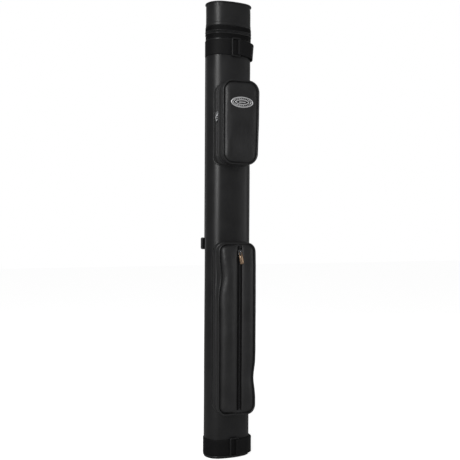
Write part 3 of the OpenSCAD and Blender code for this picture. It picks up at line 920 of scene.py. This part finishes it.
def wall_piping(name, pocket, grow, g, radius, node, tight=0.0):
    """The welt where a pocket meets the case."""
    points, ways = outline(pocket, grow, 2.0)
    path, out = on_wall(squarer(points, ways, tight), g)
    cord_piece(name, path, out, radius, PIPING, "case", [node])


def seam_stretch(pocket, above, lift=None):
    """The part of a pocket's outline above its bottom corners, or the part below, as a run. lift
    moves the dividing line, as a height above the pocket's bottom."""
    points, ways = outline(pocket, 0, 1.5)
    high = points[:, 1] > pocket[2] + (pocket[4] if lift is None else lift)
    start = int(np.flatnonzero(high & ~np.roll(high, 1))[0])
    points, ways, high = (np.roll(a, -start, 0) for a in (points, ways, high))
    keep = high if above else ~high
    return points[keep], ways[keep]


def pocket_coil(name, side, body, node, phase):
    """One side's coil turns round the upper pocket's seam."""
    points, ways = seam_stretch(UPPER, True)
    middles, along, out = resampled(standing(points, UP_SEAM + side * 0.9), standing(ways, 0.0), PITCH)
    if phase:
        middles = middles + along * PITCH / 2
        middles, along, out = middles[:-1], along[:-1], out[:-1]
    aside = facing((0, side, 0), len(middles))
    many(name, coil_shapes(middles - out * 0.1, along, out, aside, 1.6, 0.9, PITCH), COIL, body, [node],
         sharp=60)


def zip_edge(name, y0, y1, bend, body):
    """The turned edge beside the upper pocket's zip, a narrow swollen band."""
    points, ways = outline(UPPER, 0, 2.0)
    u = np.linspace(-1, 1, 7)
    depth = (y0 + y1) / 2 + u * (y1 - y0) / 2
    lift = 0.1 + 0.9 * np.sqrt(np.maximum(1 - u ** 2, 0))
    outer = standing(points[:, None] + ways[:, None] * lift[:, None], depth)
    inner = standing(points[:, None] - ways[:, None] * 0.5, depth[None, ::-1] + 0 * points[:, :1])
    lofted(name, bend(np.concatenate([outer, inner], 1)), SOFT_LEATHER, body, joined=True)


def zip_lip(name, y0, y1, g, bend, body):
    """The inner edge of the zip's tape, which closes the upper pocket's seam behind the coil."""
    points, ways = seam_stretch(UPPER, True, 4.0)
    depth = np.linspace(y0, y1, 4)[None] + 0 * points[:, :1]
    outer = standing(points[:, None] + ways[:, None] * g, depth)
    inner = standing(points[:, None] + ways[:, None] * (g - 0.35), depth[:, ::-1])
    lofted(name, bend(np.concatenate([outer, inner], 1)), ZIP_TAPE, body)


def hinge_strip():
    """The cloth that the upper pocket's door turns on, and the seam's closed corners beside it."""
    points, ways = seam_stretch(UPPER, False)
    for side, body, node in ((1, "case", "upper_pocket_hinge_leaf"),
                             (-1, "pocket_door", "upper_door_hinge_leaf")):
        path = standing(points, UP_SEAM + side * 0.7)
        profile = np.array([[-0.5, -0.9], [0.5, -0.9], [0.5, 0.2], [0.2, 0.5], [-0.2, 0.5], [-0.5, 0.2]])
        rings = swept_rings(path, standing(ways, 0.0), profile)
        lofted(f"door_corner_{body}", rings, SOFT_LEATHER, body, [node])
    x, half, low, _, r = UPPER
    across = np.linspace(x - half + r, x + half - r, 24)
    depth = UP_SEAM + np.concatenate([np.linspace(6, 1.2, 5), np.linspace(1, -1, 9),
                                      np.linspace(-1.2, -6, 5)])
    under = low - 0.3 + 0 * depth
    loop = np.concatenate([np.stack([depth, under - 0.9], -1), np.stack([depth, under], -1)[::-1]])
    strip = lofted("door_hinge", spots(across[:, None], loop[:, 0], loop[:, 1]), SOFT_LEATHER, None)
    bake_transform(strip)


def same(points):
    return points


def upper_pocket():
    base_tight = 4.1         # the base's lower corners are squarer than the door's
    wall_piping("upper_base_welt", UPPER, 1.4, 0.55, 1.15, "upper_pocket_flange", base_tight)
    gusset("upper_side_rear", UPPER, None, UP_SEAM + 1.9, same, "case", "upper_pocket_gusset",
           [(0.1, 0.84, 2.2)], 0.25, 31, base_tight)
    gusset("upper_side_front", UPPER, UP_SEAM - 1.9, UP_FRONT + 2.0, upper_lean, "pocket_door",
           "upper_door_gusset", [(0.17, 0.5, 1.3), (0.54, 0.97, 1.6)], 0.2, 33)
    zip_edge("upper_zip_edge_rear", UP_SEAM + 4.2, UP_SEAM + 1.7, same, "case")
    zip_edge("upper_zip_edge_front", UP_SEAM - 1.7, UP_SEAM - 4.2, upper_lean, "pocket_door")
    zip_lip("upper_lip_rear", UP_SEAM - 0.7, UP_SEAM + 3.0, -0.97, same, "case")
    zip_lip("upper_lip_front", UP_SEAM - 3.0, UP_SEAM + 0.7, -1.45, same, "pocket_door")
    pocket_coil("upper_coil_rear", 1, "case", "upper_pocket_coil", 0)
    pocket_coil("upper_coil_front", -1, "pocket_door", "upper_door_coil", 1)
    hinge_strip()
    x, half, low, high, _ = UPPER

    def ridged(points):
        """A faint upright ridge down the middle of the door's lower half."""
        ridge_z = low + 0.33 * (high - low)
        moved = points.copy()
        moved[:, 1] -= 0.8 * bump_at(points[:, 0], x + 4, 5) * bump_at(points[:, 2], ridge_z, 30)
        return upper_lean(moved)
    rings = pad_rings(UPPER, x - half + 0.6, x + half - 0.6, UP_FRONT + 0.7, 0.8)
    padded_panel("upper_panel", rings, ridged, "pocket_door", "upper_door_panel", 3.0, 0.5, 35)
    front_piping("upper_front_welt", UPPER, UP_FRONT + 1.9, upper_lean, "pocket_door",
                 "upper_door_piping", 37)


def zip_side_stitches(name, panel, side):
    """The stitching on a lower panel, beside the zip."""
    z = np.linspace(LOWER[2] + 9, LOWER[3] - 9, 160)
    line = on_panel(panel, ZIP_X + side * (ZIP_GAP + 4.2) + 0 * z, z)
    stitches(name, line, facing(TO_FRONT, len(line)), "case", 3.2, closed=False)


def lower_zip():
    """The lower pocket's zip: two tapes, two rows of turns, and a tab over each end."""
    low, high = node_box("lower_zip_tapes")
    z = np.linspace(low[2], high[2], 110)
    shapes, flows = [], []
    for side in (-1, 1):
        path = spots(ZIP_X + side * 6.1, low[1] + 0.45 + 0.2 * waves(z, 0, 60, 41), z)
        rings = swept_rings(path, facing(TO_FRONT, len(z)), strip_profile(11.6, 0.6, 0.2, 7))
        shapes.append(rings)
        flows.append(spots(z[:, None], rings[..., 0], 0))
    points = np.concatenate([rings.reshape(-1, 3) for rings in shapes])
    count = len(points) // 2
    faces = skin(shapes[0], False)
    faces = faces + [tuple(i + count for i in face) for face in faces]
    make_piece("lower_tapes", points, faces, ZIP_TAPE, "case", ["lower_zip_tapes"],
               np.concatenate([flow.reshape(-1, 3) for flow in flows]))
    pitch = 1.4
    turns = np.arange(low[2] + 3.0, high[2] - 3.0, pitch)
    shapes = []
    count = len(turns)
    for side, shift in ((-1, 0.0), (1, pitch / 2)):
        path = spots(ZIP_X + side * 0.75, LOW_FRONT + 1.7, turns + shift)
        shapes += coil_shapes(path, facing(UP, count), facing(TO_FRONT, count), facing((side, 0, 0), count),
                              2.1, 1.3, pitch)
    many("lower_coil", shapes, COIL, "case", ["lower_zip_coil"], sharp=60)
    ends = []
    for z0, z1 in ((LOWER[2] - 1.4, low[2] + 1.5), (high[2] - 1.5, LOWER[3] - 0.4)):
        points, ways = outline((ZIP_X, ZIP_GAP + 2.5, z0, z1, 0.8), 0, 0.7)
        ends.append(plate_rings(points, ways, LOW_FRONT + 5.0, LOW_FRONT + 2.9, 0.4))
    many("lower_zip_ends", ends, SOFT_LEATHER, "case", [])


def lower_pocket():
    wall_piping("lower_base_welt", LOWER, 1.2, 0.45, 1.05, "lower_pocket_flange")
    gusset("lower_side", LOWER, None, LOW_FRONT + 1.9, lower_sag, "case", "lower_pocket_gusset",
           [(0.04, 0.53, 3.6), (0.57, 0.97, 2.2)], 0.3, 51)
    front_piping("lower_front_welt", LOWER, LOW_FRONT + 1.8, lower_sag, "case", "lower_pocket_piping", 53)
    half = LOWER[1]
    for side, node in ((-1, "lower_panel_left"), (1, "lower_panel_right")):
        left, right = (-half + 0.6, ZIP_X - ZIP_GAP) if side < 0 else (ZIP_X + ZIP_GAP, half - 0.6)
        crown = 2.2 if side > 0 else 5.0
        rings = pad_rings(LOWER, left, right, LOW_FRONT + 0.6, crown, -side)
        panel = padded_panel(node.replace("panel", "pad"), rings, lower_sag, "case", node, 4.0, 2.2,
                             55 + side)
        zip_side_stitches(f"lower_zip_stitch_{(side + 1) // 2}", panel, side)
    lower_zip()


# ---------------------------------------------------------------- fittings

def plate_rings(points, ways, y_back, y_front, edge, steps=4):
    """A plate with rounded edges from an outline (x, z), standing between two depths."""
    turn = np.radians(np.linspace(0, 90, steps))
    way = np.sign(y_front - y_back)
    back = [(edge * (1 - math.sin(t)), y_back + way * edge * (1 - math.cos(t))) for t in turn]
    front = [(inset, y_front + y_back - y) for inset, y in back]
    return np.stack([standing(points - ways * inset_by, y) for inset_by, y in back + front[::-1]])


def domed_rings(points, ways, y_back, y_front, width):
    """A plate whose front is domed: it curves back over width at its edges."""
    turn = np.radians(np.linspace(90, 0, 8))
    front = [(width * (1 - math.sin(t)) * 0.98, y_front + (y_back - y_front) * 0.75 * (1 - math.cos(t)))
             for t in turn]
    return np.stack([standing(points - ways * inset, y) for inset, y in [(0.0, y_back), *front]])


def slider_parts(place, material, body, name, node):
    """A zip slider facing -Y: a waisted plate with a raised bridge, put in its place by place()."""
    points, ways = outline((0, 3.9, -4.8, 4.8, 1.8), 0, 0.7)
    waist = 0.5 * bump_at(points[:, 1], -2.2, 1.0) - 0.35 * np.clip(points[:, 1] / 4.8, 0, 1)
    points[:, 0] *= 1 - np.maximum(waist, -0.1) * 0.3
    plate = plate_rings(points, ways, -0.35, -1.35, 0.35)
    z = np.linspace(-3.5, 3.5, 13)
    y = -1.3 - 2.85 * np.clip(1 - (z / 3.5) ** 6, 0, 1) ** 0.5
    bar = swept_rings(spots(0 * z, y + 0.35, z), facing(TO_FRONT, len(z)), circle_profile(1.0) * [0.9, 0.42])
    many(name, [place(plate), place(bar)], material, body, [node])


BAR_Y, BAR_Z = -2.3, -0.9        # the pull's bar, under the slider's bridge


def turned(angle, at):
    """Turns points about the vertical by angle, then moves them to at."""
    c, s = math.cos(math.radians(angle)), math.sin(math.radians(angle))
    matrix = np.array([[c, -s, 0], [s, c, 0], [0, 0, 1]])
    return lambda points: points @ matrix.T + at


def pull_bar():
    path = spots(np.linspace(-3, 3, 9), BAR_Y, BAR_Z)
    return swept_rings(path, facing(UP, 9), circle_profile(0.65))


def pull_arms(length, spread, half):
    """Two arms from the bar down to the tag."""
    shapes = []
    for side in (-1, 1):
        z = np.linspace(0.2, -length, 7)
        x = side * (spread + (half - spread) * np.linspace(0, 1, 7) ** 2)
        shapes.append(swept_rings(spots(x, BAR_Y, BAR_Z + z), facing(TO_FRONT, 7),
                                  circle_profile(1.0, 8) * [0.5, 0.62]))
    return shapes


def tag_plate(half, low, high, corner, y_half, edge):
    points, ways = outline((0, half, low, high, corner), 0, 0.6)
    return plate_rings(points, ways, BAR_Y + y_half, BAR_Y - y_half, edge)


def pillow(half, low, high, y_back, y_front):
    """A plate with a front as round as a cushion across its width."""
    across = np.linspace(-1, 1, 13)
    rows = np.linspace(low, high, 15)
    end = np.minimum(rows - low, high - rows)[:, None]
    x = half * across * (1 - 0.35 * np.exp(-end / 0.5))
    crown = np.sqrt(np.maximum(1 - 0.9 * across ** 2, 0))
    y = y_back + (y_front - y_back) * crown * (1 - 0.5 * np.exp(-end / 0.6))
    face, rear = spots(x, y, rows[:, None]), spots(x, y_back, rows[:, None])
    return np.concatenate([face, rear[:, ::-1]], 1)


def ring_loop(half, low, high, corner, radius_across, radius_deep):
    """A wire or moulded loop of oval cross-section, with its outer edge on the given outline."""
    points, ways = outline((0, half, low, high, corner), -radius_across, 0.8)
    return swept_rings(standing(points, BAR_Y), standing(ways, 0.0),
                       circle_profile(1.0) * [radius_deep, radius_across], True)


def lid_fittings():
    angle = 35.0                     # where the lid's slider is parked, round the right end
    away = END_R + 1.6
    at = np.array([END_X + away * math.cos(math.radians(angle)),
                   away * math.sin(math.radians(angle)), ZIP_Z])
    place = turned(angle + 90, at)
    slider_parts(place, DARK_METAL, "lid_slider", "lid_slider_body", "lid_zip_slider")
    tag = tag_plate(2.6, -10 + BAR_Z, -4.4 + BAR_Z, 1.2, 0.6, 0.3)
    shapes = [pull_bar(), *pull_arms(4.8, 2.5, 2.2), tag]
    many("lid_pull_tab", [place(shape) for shape in shapes], DARK_METAL, "lid_pull", ["lid_zip_pull"])


def upper_fittings():
    x, half, *_ = UPPER
    place = turned(-90, np.array([x - half - 0.6, UP_SEAM, node_middle("upper_zip_slider")[0][2]]))
    # The upper slider and pull take the lightened copy of the slider steel, which carries painted highlight.
    slider_parts(place, PAINTED_HIGHLIGHT_STEEL, "upper_slider", "upper_slider_body", "upper_zip_slider")
    loop = ring_loop(3.4, -13 + BAR_Z, -3.6 + BAR_Z, 1.6, 0.7, 0.6)
    shapes = [pull_bar(), *pull_arms(4.4, 2.5, 2.5), loop]
    many("upper_pull_ring", [place(shape) for shape in shapes], PAINTED_HIGHLIGHT_STEEL, "upper_pull",
         ["upper_zip_pull"], [False] * 3 + [True])


def lower_fittings():
    place = turned(0, np.array([ZIP_X, LOW_FRONT + 1.0, node_middle("lower_zip_slider")[0][2]]))
    slider_parts(place, STEEL, "lower_slider", "lower_slider_body", "lower_zip_slider")
    tilt = math.radians(9)

    def tilted(points):
        """Turns the tag a little about its bar's middle, in the plane of the pocket's front."""
        x, y, z = np.moveaxis(points - [0, 0, BAR_Z], -1, 0)
        c, s = math.cos(tilt), math.sin(tilt)
        return place(spots(x * c - z * s, y, x * s + z * c + BAR_Z))
    tag = tag_plate(3.6, -21 + BAR_Z, -4.6 + BAR_Z, 1.6, 0.6, 0.3)
    cushion = pillow(3.0, -20.2 + BAR_Z, -5.6 + BAR_Z, BAR_Y - 0.4, BAR_Y - 1.9)
    shapes = [pull_bar(), *pull_arms(5.0, 2.5, 2.6), tag, cushion]
    many("lower_pull_tag", [tilted(shape) for shape in shapes], BRASS, "lower_pull", ["lower_zip_pull"])


def zip_stops():
    low, high = node_box("lower_zip_stops")
    shapes = []
    for z in (low[2] + 1, high[2] - 1):
        points, ways = outline((ZIP_X, 1.8, z - 1, z + 1, 0.7), 0, 0.4)
        shapes.append(plate_rings(points, ways, LOW_FRONT + 1.2, LOW_FRONT - 0.1, 0.3))
    many("zip_stops", shapes, DARK_METAL, "case", ["lower_zip_stops"])


def oval_ring(x, z, a, b, y, wire, count=64, pointed=0.0):
    """A wire bent to an oval; pointed draws its two ends out."""
    turn = np.linspace(0, 2 * math.pi, count, endpoint=False)
    rise = np.sin(turn) * np.abs(np.sin(turn)) ** pointed
    path = spots(x + a * np.cos(turn), y, z + b * rise)
    return swept_rings(path, facing(TO_FRONT, count), circle_profile(wire, 8), True)


def bead(x, z, y, radius):
    """A rounded stud standing on a face at depth y."""
    turn = np.linspace(0, 2 * math.pi, 12, endpoint=False)
    ring = np.stack([np.cos(turn), np.sin(turn)], -1)
    levels = [(1.0, 0.2), (0.92, -0.25), (0.65, -0.55), (0.25, -0.72)]
    return np.stack([standing([x, z] + ring * radius * wide, y + radius * deep) for wide, deep in levels])


def badge():
    """An oval plate with a thick rim, a ring of plain studs and a raised lens on a dark field."""
    (x, _, z), (a, _, b) = node_middle("badge")
    front, back = (corner[1] for corner in node_box("badge"))
    turn = np.linspace(0, 2 * math.pi, 72, endpoint=False)
    unit = np.stack([np.cos(turn), np.sin(turn)], -1)
    ways = unit / np.linalg.norm(unit * [1 / a, 1 / b], axis=1, keepdims=True) * [1 / a, 1 / b]
    plate = plate_rings([x, z] + unit * [a, b], ways, back, front + 0.5, 0.45)
    rim = oval_ring(x, z, a - 1.4, b - 1.4, front + 1.0, 1.35)
    lens = oval_ring(x, z, a - 9.3, b - 5.9, front + 0.9, 1.15, 56, 0.35)
    shapes, closed = [plate, rim, lens], [False, True, True]
    studs = 26
    for t in np.arange(studs) * 2 * math.pi / studs:
        shapes.append(bead(x + (a - 5.0) * math.cos(t), z + (b - 3.9) * math.sin(t), front + 0.8,
                           1.0 + 0.15 * math.cos(3 * t)))
        closed.append(False)
    points, bar_ways = outline((x, 7.0, z - 1.3, z + 1.3, 1.2), 0, 0.6)
    shapes.append(domed_rings(points, bar_ways, front + 1.0, front + 0.2, 1.2))
    many("badge_plate", shapes, BADGE_STEEL, "pocket_door", ["badge"], closed + [False])
    field = plate_rings([x, z] + unit * [a - 1.5, b - 1.5], ways, front + 1.0, front + 0.42, 0.06)
    many("badge_field", [field], ENAMEL, "pocket_door", [])


# ---------------------------------------------------------------- webbing

def strap_flow(rings, length):
    """Length along and across a strap, for its weave."""
    across = np.cumsum(np.linalg.norm(np.diff(rings[0], axis=0, append=rings[0][:1]), axis=1))
    return spots(length[:, None], across[None], 0)


def webbing_strip(name, path, out, width, node, closed=False):
    rings = swept_rings(path, out, strip_profile(width, 1.5, 0.4, 15), closed)
    return lofted(name, rings, WEBBING, "case", [node], joined=closed,
                  flow=strap_flow(rings, path_lengths(path)))


def band(name, node, seed):
    """A band of webbing round the whole case."""
    middle, half = node_middle(node)
    s = np.linspace(0, ROUND, 200, endpoint=False)
    z = middle[2] + 0.25 * waves(s, 0, 80, seed)
    g = 1.05 + 0.12 * waves(s, 0, 40, seed + 1)
    webbing_strip(name, wall(s, z, g), outward(s), 2 * half[2], node, True)


def band_tail(name, node, tilt, inward, fall, seed):
    """The band's tail comes up through its loop, lies round the right end and stops on the back."""
    low, high = node_box(node)
    front, rear = low[1] + 0.8, high[1] - 0.8
    radius = 30.2
    turn_x, turn_y = high[0] - 0.8 - radius - inward, rear - radius
    middle = node_middle(node.replace("_band_tail", "_ring"))[0][0]
    start = [(middle + 3.6, front + 2.6), (middle + 3.9, front + 1.2), (middle + 4.9, front + 0.25),
             (middle + 6.4, front)]
    flat = [(x, front) for x in np.linspace(middle + 8, turn_x - 6, 5)]
    arc = [(turn_x + radius * math.cos(a), turn_y + radius * math.sin(a))
           for a in np.radians(np.linspace(-76, 90, 44))]
    end = [(x, rear) for x in np.linspace(turn_x - 3, low[0] + 0.4, 14)]
    xy = np.array(start + flat + arc + end)
    run = path_lengths(xy)
    z = (low[2] + high[2]) / 2 + 0.25 * waves(run, 0, 90, seed)
    z -= fall * np.clip((run - 8) / 46, 0, 1) * np.clip((112 - run) / 34, 0, 1)
    path = spots(xy[:, 0], xy[:, 1], z)
    along = np.gradient(path, axis=0)
    out = spots(along[:, 1], -along[:, 0], 0)
    out = out / np.linalg.norm(out, axis=1, keepdims=True)
    lean = math.tan(math.radians(tilt)) * bump_at(run, run[-1] * 0.42, 24)
    path = path - out * (lean * (high[2] - low[2]) / 2)[:, None]
    out = out - np.array(UP) * lean[:, None]
    out = out / np.linalg.norm(out, axis=1, keepdims=True)
    webbing_strip(name, path, out, high[2] - low[2], node)


def loop_fitting(name, node):
    """A moulded loop with a rounded cross-section."""
    (x, y, z), (half_w, half_d, half_h) = node_middle(node)
    bar = 1.5
    points, ways = outline((x, half_w - bar, z - half_h + bar, z + half_h - bar, 2.2), 0, 1.2)
    rings = swept_rings(standing(points, y), standing(ways, 0.0), squared_profile(half_d, bar), True)
    lofted(name, rings, PLASTIC, "case", [node], joined=True)


def back_strap():
    """The shoulder strap's two layers on the back, each with a box of stitching."""
    (x, y, _), (half_w, _, _) = node_middle("shoulder_strap")
    low, high = node_box("shoulder_strap")
    z = np.linspace(low[2], high[2], 130)
    path = spots(x + 0.3 * waves(z, 0, 300, 61), y, z)
    webbing_strip("shoulder_strap_web", path, facing(TO_REAR, 130), 2 * half_w, "shoulder_strap")
    boxes = [(low[2] + 12, high[1])]
    y = node_middle("strap_return")[0][1]
    low, high = node_box("strap_return")
    path = spots(x, y, np.linspace(low[2], high[2], 90))
    upper = webbing_strip("strap_return_web", path, facing(TO_REAR, 90), high[0] - low[0], "strap_return")
    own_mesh(upper)
    boxes.append((high[2] - 11, high[1]))
    corners = np.array([[-1, -1], [1, -1], [1, 1], [-1, 1], [-1, -1], [1, 1], [1, -1], [-1, 1]]) * [10, 8]
    for k, (middle, face) in enumerate(boxes):
        line = spots(x + corners[:, 0], face + 0.08, middle + corners[:, 1])
        fine = np.concatenate([np.linspace(a, b, 9, endpoint=False) for a, b in zip(line[:-1], line[1:])])
        stitches(f"strap_box_stitch_{k}", fine, facing(TO_REAR, len(fine)), "case", 2.6, closed=False)


def strap_fitting():
    """The three-bar slider: a rounded frame behind the webbing and a bar over it."""
    low, high = node_box("strap_slider")
    (x, _, z), (half_w, _, half_h) = node_middle("strap_slider")
    rail = 6.0
    shapes = []
    for side in (-1, 1):
        middle = x + side * (half_w - rail / 2)
        points, ways = outline((middle, rail / 2, z - half_h, z + half_h, 2.8), 0, 1.0)
        shapes.append(plate_rings(points, ways, low[1], high[1], 1.3, 5))
    reach = half_w - rail + 1.5
    across = x + np.linspace(-reach, reach, 11)
    for up, y in ((2.2 - half_h, low[1] + 1.2), (half_h - 2.2, low[1] + 1.2), (0, high[1] - 1.2)):
        shapes.append(swept_rings(spots(across, y, z + up), facing(TO_REAR, 11), squared_profile(2.2, 1.2)))
    many("strap_buckle", shapes, PLASTIC, "strap_adjuster", ["strap_slider"])


def carrying_strap():
    band("upper_band_web", "upper_band", 71)
    band("lower_band_web", "lower_band", 73)
    band_tail("upper_tail_web", "upper_band_tail", 8.0, 0.0, 3.6, 75)
    band_tail("lower_tail_web", "lower_band_tail", 0.0, 1.6, 3.0, 77)
    loop_fitting("upper_loop", "upper_ring")
    loop_fitting("lower_loop", "lower_ring")
    back_strap()
    strap_fitting()


# ---------------------------------------------------------------- CAD nodes that stay

def kept_nodes():
    """Gives the CAD's own meshes that stay their materials."""
    for material, nodes in ((SHELL, ["tube_shell", "lid_shell"]),
                            (FOAM, ["tube_spacer_low", "tube_spacer_high"]),
                            (TUBE_LINING, ["butt_tube_left", "butt_tube_right", "shaft_tube_front",
                                           "shaft_tube_rear"]),
                            (POCKET_LINING, ["upper_pocket_lining", "lower_pocket_lining"]),
                            (PLASTIC, ["base_cap"]), (BADGE_STEEL, ["badge_pins"])):
        for node in nodes:
            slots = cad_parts[node].data.materials
            slots.clear()
            slots.append(material)


# ---------------------------------------------------------------- camera, light and floor

def camera():
    """The view: level, from the left of the front, a little below half height."""
    azimuth, distance, height = math.radians(22.9), 1.369, 0.4389
    data = bpy.data.cameras.new("camera")
    data.sensor_width = 36.0
    data.lens = 55.72
    data.shift_x, data.shift_y = 0.0058, -0.0109
    cam = bpy.data.objects.new("camera", data)
    cam.location = (-math.sin(azimuth) * distance, -math.cos(azimuth) * distance, height)
    cam.rotation_euler = (math.pi / 2, math.radians(-0.29), -azimuth)
    bpy.context.scene.collection.objects.link(cam)
    bpy.context.scene.camera = cam


def panel_light(name, azimuth, distance, height, size, power):
    """A softbox that stands upright and faces the case."""
    data = bpy.data.lights.new(name, "AREA")
    data.shape = "RECTANGLE"
    data.size, data.size_y = size
    data.energy = power
    lamp = bpy.data.objects.new(name, data)
    a = math.radians(azimuth)
    lamp.location = (math.sin(a) * distance, -math.cos(a) * distance, height)
    lamp.rotation_euler = (math.pi / 2, 0, a)
    lamp.visible_camera = False
    bpy.context.scene.collection.objects.link(lamp)


def seen_by_camera(tree, mix, lighting, seen):
    """Mixes the shader that lights the case with the paler one that shows behind it."""
    tree.links.new(add_node(tree, "ShaderNodeLightPath").outputs["Is Camera Ray"], mix.inputs[0])
    tree.links.new(lighting.outputs[0], mix.inputs[1])
    tree.links.new(seen.outputs[0], mix.inputs[2])


WHITE = (1, 1, 1, 1)


def studio():
    """White surroundings, three softboxes and a pale floor."""
    scene = bpy.context.scene
    scene.view_settings.view_transform = "Standard"
    world = bpy.data.worlds.new("studio")
    world.use_nodes = True
    tree = world.node_tree
    background = tree.nodes["Background"]
    background.inputs["Color"].default_value = WHITE
    background.inputs["Strength"].default_value = 0.195
    seen = add_node(tree, "ShaderNodeBackground", Strength=1.0)
    seen.inputs["Color"].default_value = WHITE
    mix = add_node(tree, "ShaderNodeMixShader")
    seen_by_camera(tree, mix, background, seen)
    tree.links.new(mix.outputs[0], tree.nodes["World Output"].inputs["Surface"])
    scene.world = world
    panel_light("key", -38.0, 1.7, 1.17, (0.5, 1.5), 18.0)
    panel_light("right_fill", 62.0, 2.2, 0.4, (1.2, 1.2), 4.5)
    panel_light("backdrop", 157.0, 2.2, 0.9, (4.4, 1.7), 5.5)
    mesh = bpy.data.meshes.new("floor")
    mesh.from_pydata([(-6, -6, 0), (6, -6, 0), (6, 6, 0), (-6, 6, 0)], [], [(0, 1, 2, 3)])
    floor = bpy.data.objects.new("floor", mesh)
    floor.location.z = -0.0005
    scene.collection.objects.link(floor)
    material, tree, shader = node_material("floor", (0.65, 0.65, 0.65), 0.9, specular=0.1)
    pale = add_node(tree, "ShaderNodeBsdfPrincipled", Roughness=0.9)
    pale.inputs["Base Color"].default_value = (0.9, 0.9, 0.9, 1)
    pale.inputs["Emission Color"].default_value = WHITE
    pale.inputs["Emission Strength"].default_value = 0.8
    mixed = add_node(tree, "ShaderNodeMixShader")
    seen_by_camera(tree, mixed, shader, pale)
    tree.links.new(mixed.outputs[0], tree.nodes["Material Output"].inputs["Surface"])
    mesh.materials.append(material)


body_cover()
rim_binding()
base()
lid_zip()
hinge_skin()
lid()
foam_pad("base_foam", "base_pad", "case")
foam_pad("lid_foam", "lid_pad", "lid")
upper_pocket()
lower_pocket()
lid_fittings()
upper_fittings()
lower_fittings()
zip_stops()
badge()
carrying_strap()
kept_nodes()
camera()
studio()
